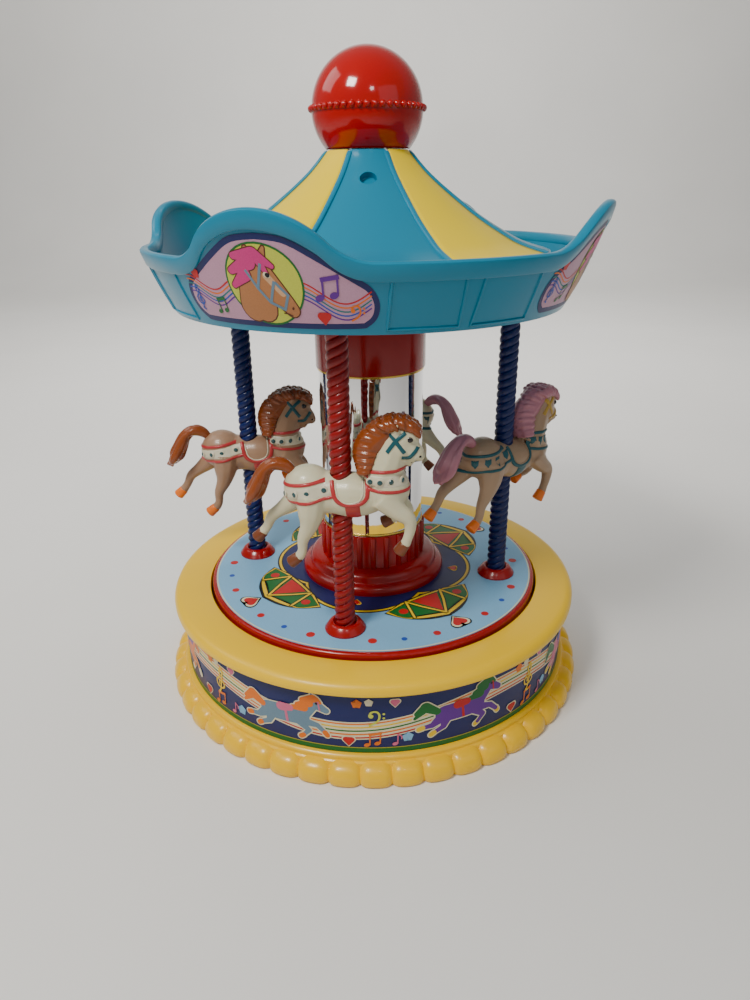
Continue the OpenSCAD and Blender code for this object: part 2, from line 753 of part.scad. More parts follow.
module canopy() {
    color("deepskyblue") {
        intersection() {
            rotate_extrude($fn = smooth) valance_section(valance_wall, 0);
            union() {
                translate([0, 0, valance_z]) cylinder(r = 100, h = rim_h, $fn = smooth);
                for (i = [0:3]) arch_prism(arch_az + i * 90, 0);
            }
        }
        difference() {
            union() {
                translate([0, 0, valance_z]) cylinder(r = valance_r - 0.6, h = floor_t, $fn = smooth);
                for (i = [0:3]) at_az(pole_az + i * 90, pole_circle) translate([0, 0, valance_z + 1])
                    cylinder(r = bush_neck_r, h = floor_t + 2.5, $fn = 48);
                for (i = [0:3]) at_az(arch_az + 45 + i * 90, canopy_post_ring) translate([0, 0, valance_z + 1])
                    cylinder(r = post_r, h = floor_t + canopy_post_h - 1, $fn = 48);
            }
            for (i = [0:3]) at_az(pole_az + i * 90, pole_circle) cylinder(r = pole_r + run_gap, h = 400, $fn = 48);
            for (i = [0:3]) at_az(arch_az + 45 + i * 90, canopy_post_ring) cylinder(r = screw_r + slack, h = 400, $fn = 24);
            cylinder(r = shaft_r + run_gap, h = 400, $fn = 48);
        }
    }
}

// The roof in section, between two heights above its outside, its ends carried on level by more
module roof_section(out, in, more = 0) {
    last = roof_line[len(roof_line) - 1];
    line = concat(more > 0 ? [roof_line[0] - [more, 0]] : [], roof_line, more > 0 ? [last + [more, 0]] : []);
    n = len(line) - 1;
    polygon(concat([for (i = [0:n]) line[i] + [0, roof_base + out]], [for (i = [n:-1:0]) line[i] + [0, roof_base + in]]));
}

module roof_wedge(i, out, in, more = 0) {
    rotate([0, 0, arch_az + i * roof_step - 90]) rotate_extrude(angle = roof_step, $fn = smooth)
        roof_section(out, in, more);
}

module dimple(r, from, to) {
    p = roof_line[dimple_at];
    slope = atan2(roof_line[dimple_at - 1][1] - roof_line[dimple_at + 1][1],
        roof_line[dimple_at + 1][0] - roof_line[dimple_at - 1][0]);
    translate([0, -p[0], roof_base + p[1]]) rotate([slope, 0, 0]) translate([0, 0, from])
        cylinder(r = r, h = to - from, $fn = 48);
}

module canopy_roof() {
    color("deepskyblue") difference() {
        union() {
            difference() {
                rotate_extrude($fn = smooth) roof_section(0, -roof_wall - panel_t);
                for (i = [1:2:roof_sectors - 1]) roof_wedge(i, 2, -panel_t, 1);
            }
            for (i = [0:roof_sectors - 1]) rotate([0, 0, arch_az + i * roof_step - 90]) translate([0, rib_w / 2, 0])
                rotate([90, 0, 0]) linear_extrude(rib_w) intersection() {
                    roof_section(rib_h, -roof_wall);
                    translate([roof_top_r + rib_gap, roof_base]) square([roof_eave_r - roof_top_r - 2 * rib_gap, 80]);
                }
            for (i = [0:3]) at_az(arch_az + 45 + i * 90, canopy_post_ring) translate([0, 0, floor_top + canopy_post_h])
                cylinder(r = roof_post_r, h = roof_base + roof_post_h - floor_top - canopy_post_h, $fn = 48);
            translate([0, 0, roof_top - roof_wall - panel_t - 1.8])
                cylinder(r = roof_top_r + 1.2, h = roof_wall + 0.2, $fn = smooth);
            dimple(dimple_r + 1.5, -dimple_d - 1.5, -0.5);
        }
        dimple(dimple_r, -dimple_d, 5);
        translate([0, 0, roof_base]) cylinder(r = shaft_r + run_gap, h = 100, $fn = 48);
        for (i = [0:3]) at_az(arch_az + 45 + i * 90, canopy_post_ring) translate([0, 0, floor_top]) cylinder(r = screw_r, h = 12, $fn = 24);
    }
}

module roof_panels() {
    half_rib = rib_w / 2;
    color("yellow") for (i = [1:2:roof_sectors - 1]) difference() {
        roof_wedge(i, 0, -panel_t);
        for (k = [0, 1]) rotate([0, 0, arch_az + (i + k) * roof_step - 90]) translate([0, half_rib, 0])
            rotate([90, 0, 0]) linear_extrude(rib_w) translate([0, valance_z]) square([100, 80]);
    }
}

module roof_screws() {
    color("silver") for (i = [0:3]) at_az(arch_az + 45 + i * 90, canopy_post_ring)
        translate([0, 0, valance_z - screw_head_t]) screw(12);
}

// Printed labels on the outside of the arches
module canopy_labels() {
    inset = 3.4;
    color("thistle") for (i = [0:3]) intersection() {
        rotate_extrude($fn = smooth) valance_section(0, -label_t);
        arch_prism(arch_az + i * 90, -inset);
        translate([0, 0, valance_z + 1.8]) cylinder(r = 100, h = arch_h, $fn = smooth);
    }
}

// ---------- ball ----------
module ball_section(wall, r) {
    intersection() {
        difference() {
            circle(r = r, $fn = smooth);
            circle(r = r - wall, $fn = smooth);
        }
        translate([0, -r]) square([r, 2 * r]);
    }
}

module ball_cup() {
    cut = roof_top + ball_gap - ball_z;
    color("red") translate([0, 0, ball_z]) difference() {
        union() {
            rotate_extrude($fn = smooth) intersection() {
                ball_section(ball_wall, ball_r);
                translate([0, cut]) square([ball_r, -cut]);
            }
            translate([0, 0, cut]) cylinder(r = sqrt(ball_r * ball_r - cut * cut) - 0.4, h = 2, $fn = smooth);
            translate([0, 0, cut]) cylinder(r = 5, h = 3 - cut, $fn = 48);
            translate([0, 0, -0.9]) tube(ball_r + 0.3, ball_r - 1, 0.9);
            rotate_extrude($fn = smooth) translate([ball_r, 0]) circle(r = bead_r, $fn = 32);
        }
        translate([0, 0, cut - 1]) cylinder(r = shaft_r, h = 40, $fn = 48);
        cylinder(r = ball_r - 0.1, h = 3, $fn = smooth);
    }
}

module ball_dome() {
    color("red") translate([0, 0, ball_z]) {
        rotate_extrude($fn = smooth) intersection() {
            ball_section(ball_wall, ball_r - 0.15);
            square([ball_r, ball_r]);
        }
    }
}

base_shell();
top_ring();
frieze_band();
bottom_cover();
cover_screws();
cam_track();
bedplate();
bedplate_screws();
cylinder_brackets();
music_comb();
comb_block();
comb_screws();
train_bridge();
deck();
deck_label();
deck_screws();
pole_bushes();
pedestal();
mirror_tube();
gold_bands();
collar();
canopy();
canopy_roof();
roof_panels();
canopy_labels();
roof_screws();
spring_barrel();
barrel_cap();
mainspring();
pole_front();
pole_right();
pole_back();
pole_left();
horse_front();
horse_right();
horse_back();
horse_left();
winding_shaft();
ratchet_wheel();
ball_cup();
ball_dome();
music_cylinder();
cylinder_pinion();
idler_wheel();
idler_arbor();
governor_pinion();
governor_fan();
ratchet_pawl();
pawl_post();
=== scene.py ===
import math

import bmesh
import bpy
from mathutils import Matrix, Vector
from mathutils.bvhtree import BVHTree


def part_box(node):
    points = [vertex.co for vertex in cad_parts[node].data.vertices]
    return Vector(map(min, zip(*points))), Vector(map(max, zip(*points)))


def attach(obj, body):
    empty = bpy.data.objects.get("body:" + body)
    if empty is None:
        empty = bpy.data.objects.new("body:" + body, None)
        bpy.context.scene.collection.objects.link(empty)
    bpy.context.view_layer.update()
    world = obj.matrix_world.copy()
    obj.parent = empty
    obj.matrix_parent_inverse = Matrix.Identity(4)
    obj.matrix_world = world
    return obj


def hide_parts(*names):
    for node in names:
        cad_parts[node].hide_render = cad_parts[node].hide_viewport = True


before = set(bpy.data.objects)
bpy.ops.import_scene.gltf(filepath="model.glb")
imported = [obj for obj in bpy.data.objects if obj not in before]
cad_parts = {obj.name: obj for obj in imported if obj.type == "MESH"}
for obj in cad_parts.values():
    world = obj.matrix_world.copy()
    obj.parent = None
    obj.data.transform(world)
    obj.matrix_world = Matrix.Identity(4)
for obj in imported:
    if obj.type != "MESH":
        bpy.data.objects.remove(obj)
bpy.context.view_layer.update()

mm = 0.001


# ---- places taken from the frame, in mm ----
def low(node):
    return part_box(node)[0] / mm


def high(node):
    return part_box(node)[1] / mm


footR = high("base_shell").x
deckTop = high("deck").z
deckR = high("deck").x
labelTop = high("deck_label").z
friezeR = high("frieze_band").x
friezeLow, friezeHigh = low("frieze_band").z, high("frieze_band").z
ringTop = high("top_ring").z
ringOut = high("top_ring").x
columnR = high("mirror_tube").x
valanceLow = low("canopy").z
flangeR = high("pedestal").x
poleNames = ("front", "right", "back", "left")
poleAt = {}
for side in poleNames:
    mid = (low("pole_" + side) + high("pole_" + side)) / 2
    poleAt[side] = Vector((mid.x, mid.y, 0))
poleR = 3.8
saddleZ = {side: high("pole_" + side).z - 64.5 for side in poleNames}
poleTurn = math.degrees(math.atan2(poleAt["front"].x, -poleAt["front"].y))   # from the front, towards +X
heading = {"front": -8, "right": 37, "back": 152, "left": 2}
noseDown = {"front": 0, "right": 5, "back": 0, "left": 1}


# ---- workshop ----
def around(az, r, z=None):
    # a place at an angle from the front, towards +X, as a pair or with its height
    a = math.radians(az)
    spot = (r * math.sin(a), -r * math.cos(a))
    return spot if z is None else (*spot, z)


def only(*objs):
    if bpy.context.object and bpy.context.object.mode != "OBJECT":
        bpy.ops.object.mode_set(mode="OBJECT")
    bpy.ops.object.select_all(action="DESELECT")
    for o in objs:
        o.select_set(True)
    if objs:
        bpy.context.view_layer.objects.active = objs[0]


def applyAll(o):
    only(o)
    for m in list(o.modifiers):
        bpy.ops.object.modifier_apply(modifier=m.name)


def settle(o):
    # place, turn and size go into the mesh
    only(o)
    bpy.ops.object.transform_apply(location=True, rotation=True, scale=True)


def weld(o, gap=0.004):
    only(o)
    bpy.ops.object.mode_set(mode="EDIT")
    bpy.ops.mesh.select_all(action="SELECT")
    bpy.ops.mesh.remove_doubles(threshold=gap * mm)
    bpy.ops.mesh.normals_make_consistent(inside=False)
    bpy.ops.object.mode_set(mode="OBJECT")


def closeEnds(o):
    only(o)
    bpy.ops.object.mode_set(mode="EDIT")
    bpy.ops.mesh.select_all(action="SELECT")
    bpy.ops.mesh.fill_holes(sides=0)
    bpy.ops.mesh.normals_make_consistent(inside=False)
    bpy.ops.object.mode_set(mode="OBJECT")


def smooth(o, angle=35):
    only(o)
    bpy.ops.object.shade_smooth_by_angle(angle=math.radians(angle))


def joined(name, parts):
    only(*parts)
    if len(parts) > 1:
        bpy.ops.object.join()
    o = bpy.context.view_layer.objects.active
    o.name = name
    o.data.name = name
    return o


def meshFrom(name, points, edges=(), faces=()):
    me = bpy.data.meshes.new(name)
    me.from_pydata([Vector(p) * mm for p in points], edges, faces)
    o = bpy.data.objects.new(name, me)
    bpy.context.scene.collection.objects.link(o)
    return o


def bevelled(o, width, segments=3, angle=40):
    m = o.modifiers.new("edges", "BEVEL")
    m.width = width * mm
    m.segments = segments
    m.limit_method = "ANGLE"
    m.angle_limit = math.radians(angle)
    m.use_clamp_overlap = True
    applyAll(o)


def lathe(name, outline, steps=128, closed=True, at=(0, 0), edge=0.0):
    # outline is (radius, height) pairs; spun once round Z
    n = len(outline)
    edges = [(i, i + 1) for i in range(n - 1)] + ([(n - 1, 0)] if closed else [])
    o = meshFrom(name, [(r, 0, z) for r, z in outline], edges)
    only(o)
    bpy.ops.object.mode_set(mode="EDIT")
    bpy.ops.mesh.select_all(action="SELECT")
    bpy.ops.mesh.spin(steps=steps, angle=math.tau, center=(0, 0, 0), axis=(0, 0, 1))
    bpy.ops.object.mode_set(mode="OBJECT")
    weld(o)
    o.data.transform(Matrix.Translation(Vector((at[0], at[1], 0)) * mm))
    if edge:
        bevelled(o, edge)
    smooth(o)
    return o


def aroundAxis(o, count, axis=(0, 0, 1)):
    # copies of everything in o, spread evenly round Z
    only(o)
    bpy.ops.object.mode_set(mode="EDIT")
    bpy.ops.mesh.select_all(action="SELECT")
    bpy.ops.mesh.spin(steps=count, angle=math.tau, center=(0, 0, 0), axis=axis, dupli=True)
    bpy.ops.object.mode_set(mode="OBJECT")
    weld(o)


def sweptSkin(name, columns, closedLoop=True):
    # columns of points, one per step round the rim, each a closed section
    n, k = len(columns), len(columns[0])
    points = [p for c in columns for p in c]
    faces = []
    for i in range(n if closedLoop else n - 1):
        j = (i + 1) % n
        for s in range(k):
            t = (s + 1) % k
            faces.append((i * k + s, j * k + s, j * k + t, i * k + t))
    o = meshFrom(name, points, [], faces)
    weld(o)
    smooth(o, 40)
    return o


def place(o, body, material, nodes=()):
    o.data.materials.clear()
    for m in (material if isinstance(material, (list, tuple)) else [material]):
        o.data.materials.append(m)
    if nodes:
        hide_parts(*nodes)
    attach(o, body)
    return o


# ---- materials ----
def shaderBase(name):
    m = bpy.data.materials.new(name)
    m.use_nodes = True
    nodes, links = m.node_tree.nodes, m.node_tree.links
    b = nodes["Principled BSDF"]
    coord = nodes.new("ShaderNodeTexCoord")
    centre = nodes.new("ShaderNodeMapping")
    links.new(coord.outputs["Object"], centre.inputs["Vector"])
    return m, nodes, links, b, centre


def noise(nodes, links, vector, scale, detail=3.0, rough=0.5):
    n = nodes.new("ShaderNodeTexNoise")
    n.inputs["Scale"].default_value = scale
    n.inputs["Detail"].default_value = detail
    n.inputs["Roughness"].default_value = rough
    links.new(vector, n.inputs["Vector"])
    return n.outputs["Fac"]


def ramp(nodes, links, fac, stops):
    r = nodes.new("ShaderNodeValToRGB")
    while len(r.color_ramp.elements) < len(stops):
        r.color_ramp.elements.new(0.5)
    for e, (at, colour) in zip(r.color_ramp.elements, stops):
        e.position = at
        e.color = (*colour, 1)
    links.new(fac, r.inputs["Fac"])
    return r.outputs["Color"]


def spread(nodes, links, fac, a, b):
    r = nodes.new("ShaderNodeMapRange")
    r.inputs["From Min"].default_value = 0.3
    r.inputs["From Max"].default_value = 0.7
    r.inputs["To Min"].default_value = a
    r.inputs["To Max"].default_value = b
    links.new(fac, r.inputs["Value"])
    return r.outputs["Result"]


def relief(nodes, links, shader, height, strength, depth):
    b = nodes.new("ShaderNodeBump")
    b.inputs["Strength"].default_value = strength
    b.inputs["Distance"].default_value = depth * mm
    links.new(height, b.inputs["Height"])
    links.new(b.outputs["Normal"], shader.inputs["Normal"])


def shade(colour, k):
    return tuple(min(1.0, c * k) for c in colour)


def mouldedPlastic(name, colour, rough=0.2, coat=0.0, glow=0.0, flow=6, handled=0.08):
    # moulded plastic: faint flow marks, handled patches in the gloss, a fine skin
    m, nodes, links, b, centre = shaderBase(name)
    tone = noise(nodes, links, centre.outputs["Vector"], flow, 4)
    links.new(ramp(nodes, links, tone, [(0.25, shade(colour, 0.93)), (0.55, colour),
            (0.8, shade(colour, 1.06))]), b.inputs["Base Color"])
    patch = noise(nodes, links, centre.outputs["Vector"], 38, 5, 0.6)
    links.new(spread(nodes, links, patch, rough, rough + handled), b.inputs["Roughness"])
    skin = noise(nodes, links, centre.outputs["Vector"], 420, 2)
    relief(nodes, links, b, skin, 0.12, 0.05)
    b.inputs["Specular IOR Level"].default_value = 0.38
    b.inputs["Coat Weight"].default_value = coat
    b.inputs["Coat Roughness"].default_value = 0.08
    b.inputs["Subsurface Weight"].default_value = glow
    b.inputs["Subsurface Radius"].default_value = (0.004, 0.002, 0.001)
    return m


def printedInk(name, colour, rough=0.34):
    # ink on a coated paper label: dot grain and slight unevenness
    m, nodes, links, b, centre = shaderBase(name)
    dots = nodes.new("ShaderNodeTexVoronoi")
    dots.inputs["Scale"].default_value = 2600
    links.new(centre.outputs["Vector"], dots.inputs["Vector"])
    links.new(ramp(nodes, links, dots.outputs["Distance"], [(0.1, shade(colour, 1.04)),
            (0.7, shade(colour, 0.94))]), b.inputs["Base Color"])
    wear = noise(nodes, links, centre.outputs["Vector"], 55, 4)
    links.new(spread(nodes, links, wear, rough, rough + 0.12), b.inputs["Roughness"])
    relief(nodes, links, b, wear, 0.08, 0.08)
    b.inputs["Specular IOR Level"].default_value = 0.3
    return m


def metal(name, colour, rough, grain=(1, 1, 1), grainScale=300, strength=0.2, depth=0.02, spreadBy=0.08):
    m, nodes, links, b, centre = shaderBase(name)
    centre.inputs["Scale"].default_value = grain
    b.inputs["Metallic"].default_value = 1.0
    tone = noise(nodes, links, centre.outputs["Vector"], grainScale, 3)
    links.new(ramp(nodes, links, tone, [(0.3, shade(colour, 0.9)), (0.7, colour)]), b.inputs["Base Color"])
    links.new(spread(nodes, links, tone, rough, rough + spreadBy), b.inputs["Roughness"])
    relief(nodes, links, b, tone, strength, depth)
    return m


look = {"yellow": mouldedPlastic("yellowPlastic", (0.86, 0.50, 0.0), 0.26, 0.12),
        "yellowRing": mouldedPlastic("yellowRingPlastic", (0.88, 0.54, 0.0), 0.32, 0.05),
        "cover": mouldedPlastic("coverPlastic", (0.7, 0.45, 0.02), 0.45), "red": mouldedPlastic("redPlastic",
        (0.33, 0.0, 0.0), 0.2, 0.2), "ballRed": mouldedPlastic("ballRedPlastic", (0.42, 0.0, 0.0), 0.1, 0.35),
        "blue": mouldedPlastic("skyBluePlastic", (0.0, 0.20, 0.33), 0.27, 0.1, 0.02),
        "panel": mouldedPlastic("panelYellow", (0.86, 0.62, 0.0), 0.36, 0.02),
        "ropeRed": mouldedPlastic("ropeRed", (0.26, 0.002, 0.003), 0.26, 0.1),
        "ropeBlue": mouldedPlastic("ropeBlue", (0.001, 0.010, 0.095), 0.28, 0.08),
        "acetal": mouldedPlastic("whiteAcetal", (0.75, 0.74, 0.68), 0.4), "mirror": metal("mirrorFilm",
        (0.93, 0.93, 0.95), 0.015, (150, 150, 5), 1.0, 0.8, 0.5, 0.02), "gold": metal("goldFoil",
        (0.72, 0.47, 0.10), 0.2), "steel": metal("nickelPlate", (0.62, 0.62, 0.63), 0.25, (1, 12, 1), 160),
        "zinc": metal("zincScrew", (0.66, 0.67, 0.7), 0.3), "brass": metal("turnedBrass", (0.72, 0.52, 0.2),
        0.25, (1, 1, 8), 220), "comb": metal("combSteel", (0.42, 0.45, 0.5), 0.28, (20, 1, 1), 120),
        "spring": metal("springSteel", (0.16, 0.18, 0.24), 0.3, (1, 1, 14), 120),
        "cast": metal("castBlock", (0.25, 0.25, 0.27), 0.5, (1, 1, 1), 260, 0.5, 0.08),}
print("materials of the toy are ready")


# ---- camera, light and table ----
view = {"eye": (0.0, -288.2, 197.1), "yaw": -0.22, "down": 23.3, "roll": -0.65, "lens": 17.65, "height": 24}


def setCamera():
    cam = bpy.data.cameras.new("camera")
    cam.sensor_fit = "VERTICAL"
    cam.sensor_height = view["height"]
    cam.lens = view["lens"]
    cam.clip_start = 0.01
    o = bpy.data.objects.new("camera", cam)
    bpy.context.scene.collection.objects.link(o)
    o.location = Vector(view["eye"]) * mm
    turn = Matrix.Rotation(math.radians(view["yaw"]), 4, "Z") @ Matrix.Rotation(math.radians(90 - view["down"]),
            4, "X")
    turn = turn @ Matrix.Rotation(math.radians(view["roll"]), 4, "Z")
    o.rotation_euler = turn.to_euler()
    bpy.context.scene.camera = o


studio = {"key": ((-260, -330, 600), 150, 3.6, (1.0, 0.97, 0.92)), "fill": ((420, -420, 380), 420, 0.25,
        (0.93, 0.96, 1.0)), "top": ((-420, 60, 520), 260, 0.6, (1.0, 0.98, 0.96)),
        "glint": ((60, -330, 420), 40, 0.1, (1, 1, 1)), "backdrop": ((0, 420, 900), 700, 14.0,
        (1.0, 0.985, 0.96)),}


def setLights():
    for name, (spot, size, power, tint) in studio.items():
        lamp = bpy.data.lights.new(name, "AREA")
        lamp.size = size * mm
        lamp.energy = power
        lamp.color = tint
        o = bpy.data.objects.new(name, lamp)
        bpy.context.scene.collection.objects.link(o)
        o.location = Vector(spot) * mm
        aim = Vector((0, 1400, 300)) if name == "backdrop" else Vector((0, 0, 110))
        o.rotation_euler = (aim * mm - o.location).to_track_quat("-Z", "Y").to_euler()
    world = bpy.data.worlds.new("room")
    bpy.context.scene.world = world
    world.use_nodes = True
    world.node_tree.nodes["Background"].inputs["Color"].default_value = (0.80, 0.79, 0.77, 1)
    world.node_tree.nodes["Background"].inputs["Strength"].default_value = 0.36


def setTable():
    # a wide pale table that sweeps up far behind, well clear of every view
    o = meshFrom("table", [(-3000, -3000, 0), (3000, -3000, 0), (3000, 1700, 0), (-3000, 1700, 0)], [],
            [(0, 1, 2, 3)])
    only(o)
    bpy.ops.object.mode_set(mode="EDIT")
    bpy.ops.mesh.select_all(action="DESELECT")
    bm = bmesh.from_edit_mesh(o.data)
    for e in bm.edges:
        e.select = all(v.co.y > 1.6 for v in e.verts)
    bmesh.update_edit_mesh(o.data)
    bpy.ops.mesh.extrude_edges_move(TRANSFORM_OT_translate={"value": (0, 0, 2.6)})
    bpy.ops.object.mode_set(mode="OBJECT")
    bevelled(o, 500, 12)
    smooth(o, 60)
    m, nodes, links, b, centre = shaderBase("paintedTable")
    tone = noise(nodes, links, centre.outputs["Vector"], 4, 5)
    links.new(ramp(nodes, links, tone, [(0.3, (0.80, 0.79, 0.765)), (0.7, (0.85, 0.84, 0.815))]),
            b.inputs["Base Color"])
    b.inputs["Roughness"].default_value = 0.55
    o.data.materials.append(m)


setCamera()
setLights()
setTable()
print("camera, light and table are set")


# ---- base ----
foot = {"scallops": 48, "seam": 1.5, "stepR": 84.3, "stepZ": 9.7, "steps": 14, "postR": 76.5}


def makeBase():
    # the scalloped foot: one rounded section swept round, drawn in at every seam
    profile = [(84.0, 0), (footR - 0.9, 0), (footR - 0.25, 0.7), (footR - 0.02, 2.1), (footR - 0.25, 3.9),
            (footR - 1.0, 5.6), (footR - 2.3, 6.9), (footR - 3.9, 7.7), (footR - 5.6, 8.0), (84.0, 8.0)]
    columns = []
    per = foot["steps"]
    for i in range(foot["scallops"] * per):
        across = abs(2 * ((i % per) / per) - 1)
        dip = foot["seam"] * across ** 4.2 + 0.35 * across ** 2
        a = math.tau * (i / per + 0.5) / foot["scallops"]
        column = []
        for r, z in profile:
            r2 = r - (dip if r > 84.1 else 0) * (1 - 0.25 * z / 8)
            z2 = z - (dip * 0.62 * min(1, max(0, z - 3) / 4) if r > 84.1 else 0)
            column.append((r2 * math.sin(a), -r2 * math.cos(a), z2))
        columns.append(column)
    pillow = sweptSkin("pillows", columns)
    inner = friezeR - 3
    skin = friezeR - 0.4
    body = lathe("shell", [(inner, 0), (footR - 4.5, 0), (footR - 4.5, 6.2), (footR - 4.9, 7.4),
            (foot["stepR"], 7.9), (foot["stepR"], 9.2), (foot["stepR"] - 0.6, foot["stepZ"]),
            (skin + 1.2, friezeLow), (skin, friezeLow), (skin, friezeHigh), (inner, friezeHigh)], 144, True,
            (0, 0), 0.25)
    posts = []
    for k in range(4):
        posts.append(lathe("post", [(1.2, 3.5), (4, 3.5), (4, 27.5), (1.2, 27.5)], 24, True,
                around(45 + 90 * k, foot["postR"]), 0.2))
    o = joined("scallopedBase", [body, pillow] + posts)
    smooth(o, 50)
    place(o, "base", look["yellow"], ["base_shell"])


def makeTopRing():
    ringIn, skirt = deckR + 0.9, 6
    o = lathe("topRing", [(ringIn, friezeHigh - skirt), (ringIn + 2, friezeHigh - skirt),
            (ringIn + 2, friezeHigh), (ringOut, friezeHigh), (ringOut, ringTop - 2.6),
            (ringOut - 0.7, ringTop - 1.1), (ringOut - 2.0, ringTop - 0.25), (ringOut - 3.4, ringTop),
            (ringIn, ringTop)], 160, True, (0, 0), 0.35)
    place(o, "base", look["yellowRing"], ["top_ring"])


makeBase()
makeTopRing()
print("base is made")


# ---- column and pedestal ----
drum = {"flutes": 24, "r": 22.0, "ribR": 1.15, "top": 22.8}


def makePedestal():
    z = deckTop
    inner = columnR - 0.9
    body = lathe("pedestalBody", [(inner, z), (flangeR, z), (flangeR, z + 2.2), (flangeR - 0.6, z + 3.4),
            (flangeR - 1.8, z + 4.2), (flangeR - 3.0, z + 4.7), (flangeR - 3.3, z + 6.3),
            (flangeR - 4.1, z + 7.5), (flangeR - 5.4, z + 8.2), (drum["r"] - 0.9, z + 8.5),
            (drum["r"] - 0.9, z + drum["top"] - 0.4), (columnR + 0.05, z + drum["top"]),
            (columnR + 0.05, z + 8), (inner, z + 6)], 144, True, (0, 0), 0.4)
    # half-round ribs stand between the flutes
    only()
    bpy.ops.mesh.primitive_cylinder_add(vertices=16, radius=drum["ribR"] * mm, depth=(drum["top"] - 8.6) * mm,
            location=(0, -(drum["r"] - 0.95) * mm, (z + 8.2 + (drum["top"] - 8.6) / 2) * mm))
    rib = bpy.context.object
    settle(rib)
    bevelled(rib, 0.4, 3)
    aroundAxis(rib, drum["flutes"])
    o = joined("flutedPedestal", [body, rib])
    smooth(o)
    place(o, "carousel", look["red"], ["pedestal"])


def makeColumn():
    lowZ, highZ = low("mirror_tube").z, high("mirror_tube").z
    tube = lathe("mirrorColumn", [(columnR - 0.9, lowZ), (columnR, lowZ), (columnR, highZ),
            (columnR - 0.9, highZ)], 180)
    place(tube, "carousel", look["mirror"], ["mirror_tube"])
    bands = []
    for z in (low("gold_bands").z, high("gold_bands").z - 0.9):
        bands.append(lathe("band", [(columnR, z), (columnR + 0.4, z), (columnR + 0.4, z + 0.9),
                (columnR, z + 0.9)], 144, True, (0, 0), 0.15))
    place(joined("goldBands", bands), "carousel", look["gold"], ["gold_bands"])
    c0, c1, r = low("collar").z, high("collar").z, high("collar").x
    sleeve = lathe("redCollar", [(columnR + 0.02, c0), (r, c0), (r, c1), (columnR + 0.02, c1)], 144, True,
            (0, 0), 0.3)
    place(sleeve, "carousel", look["red"], ["collar"])


makePedestal()
makeColumn()
print("column is made")


# ---- twisted poles ----
rope = {"strands": 3, "pitch": 3.05, "crest": 3.8, "groove": 3.2, "rise": 22}


def makePole(side):
    lowZ, highZ = low("pole_" + side).z, high("pole_" + side).z
    at = poleAt[side]
    n = 36
    ring = []
    for i in range(n):
        a = math.tau * i / n
        wave = abs(math.cos(a * rope["strands"] / 2))
        r = rope["groove"] + (rope["crest"] - rope["groove"]) * wave ** 0.6
        ring.append((r * math.cos(a), r * math.sin(a), 0))
    shaftLow = lowZ + 4
    turns = (highZ - shaftLow) / (rope["pitch"] * rope["strands"])
    o = meshFrom("twistedPole_" + side, ring, [(i, (i + 1) % n) for i in range(n)])
    m = o.modifiers.new("twist", "SCREW")
    m.axis = "Z"
    m.angle = math.tau * turns
    m.screw_offset = (highZ - shaftLow) * mm
    m.steps = int(rope["rise"] * turns)
    m.render_steps = m.steps
    m.use_merge_vertices = False
    applyAll(o)
    closeEnds(o)
    o.data.transform(Matrix.Translation(Vector((at.x, at.y, shaftLow)) * mm))
    heel = lathe("heel", [(0, lowZ), (5.5, lowZ), (5.5, lowZ + 4), (0, lowZ + 4.05)], 32, False, (at.x, at.y),
            0.3)
    o = joined("twistedPole_" + side, [o, heel])
    smooth(o, 50)
    red = side in ("front", "back")
    place(o, "pole_" + side, look["ropeRed" if red else "ropeBlue"],
            ["pole_" + side])


for side in poleNames:
    makePole(side)


def makeBushes():
    z0, z1 = low("pole_bushes").z, high("pole_bushes").z
    parts = []
    for side in poleNames:
        at = poleAt[side]
        bore = poleR + 0.05
        parts.append(lathe("bush", [(bore, z0), (6, z0), (6, deckTop), (7.7, deckTop), (7.7, deckTop + 0.9),
                (7.1, deckTop + 1.7), (6.1, z1 - 0.6), (5.2, z1), (bore + 0.7, z1), (bore, z1 - 0.9)], 64, True,
                (at.x, at.y), 0.15))
    place(joined("poleBushes", parts), "carousel", look["red"], ["pole_bushes"])


makeBushes()
print("poles are made")


# ---- canopy ----
# outside of the valance: how far it leans out at each height above its lower edge
lean = [(0, 0), (10.3, 4.9), (20.3, 8.9), (28.3, 11.9), (35.3, 13.7)]
valance = {"r": 72.1, "wall": 2.4, "rim": 21.3, "arch": 35.3, "dome": 27.0, "hollow": 18.0, "firstArch": -22.5,
        "lipTall": 5.6, "lipOut": 0.9, "flatR": 80.0, "screwR": 60}


def valanceR(h):
    # smooth curve through the leaning outline
    h = max(0.0, min(h, lean[-1][0]))
    for i in range(len(lean) - 1):
        (h0, r0), (h1, r1) = lean[i], lean[i + 1]
        if h <= h1:
            t = (h - h0) / (h1 - h0)
            before = lean[max(i - 1, 0)]
            after = lean[min(i + 2, len(lean) - 1)]
            m0 = (r1 - before[1]) / (h1 - before[0]) * (h1 - h0)
            m1 = (after[1] - r0) / (after[0] - h0) * (h1 - h0)
            return (valance["r"] + (2 * t ** 3 - 3 * t ** 2 + 1) * r0 + (t ** 3 - 2 * t ** 2 + t) * m0
                    + (3 * t ** 2 - 2 * t ** 3) * r1 + (t ** 3 - t ** 2) * m1)
    return valance["r"] + lean[-1][1]


def edgeHeight(az):
    # height of the valance's upper edge, by angle from the front
    near = (az - valance["firstArch"] + 45) % 90 - 45
    d = abs(valance["flatR"] * 0.99 * math.sin(math.radians(near)))
    centre = valance["arch"] - valance["dome"]
    up = valance["rim"] + valance["hollow"] - centre
    reach = math.sqrt((valance["dome"] + valance["hollow"]) ** 2 - up * up)
    meet = reach * valance["dome"] / (valance["dome"] + valance["hollow"])
    if d < meet:
        return centre + math.sqrt(valance["dome"] ** 2 - d * d)
    if d < reach:
        return valance["rim"] + valance["hollow"] - math.sqrt(valance["hollow"] ** 2 - (reach - d) ** 2)
    return valance["rim"]


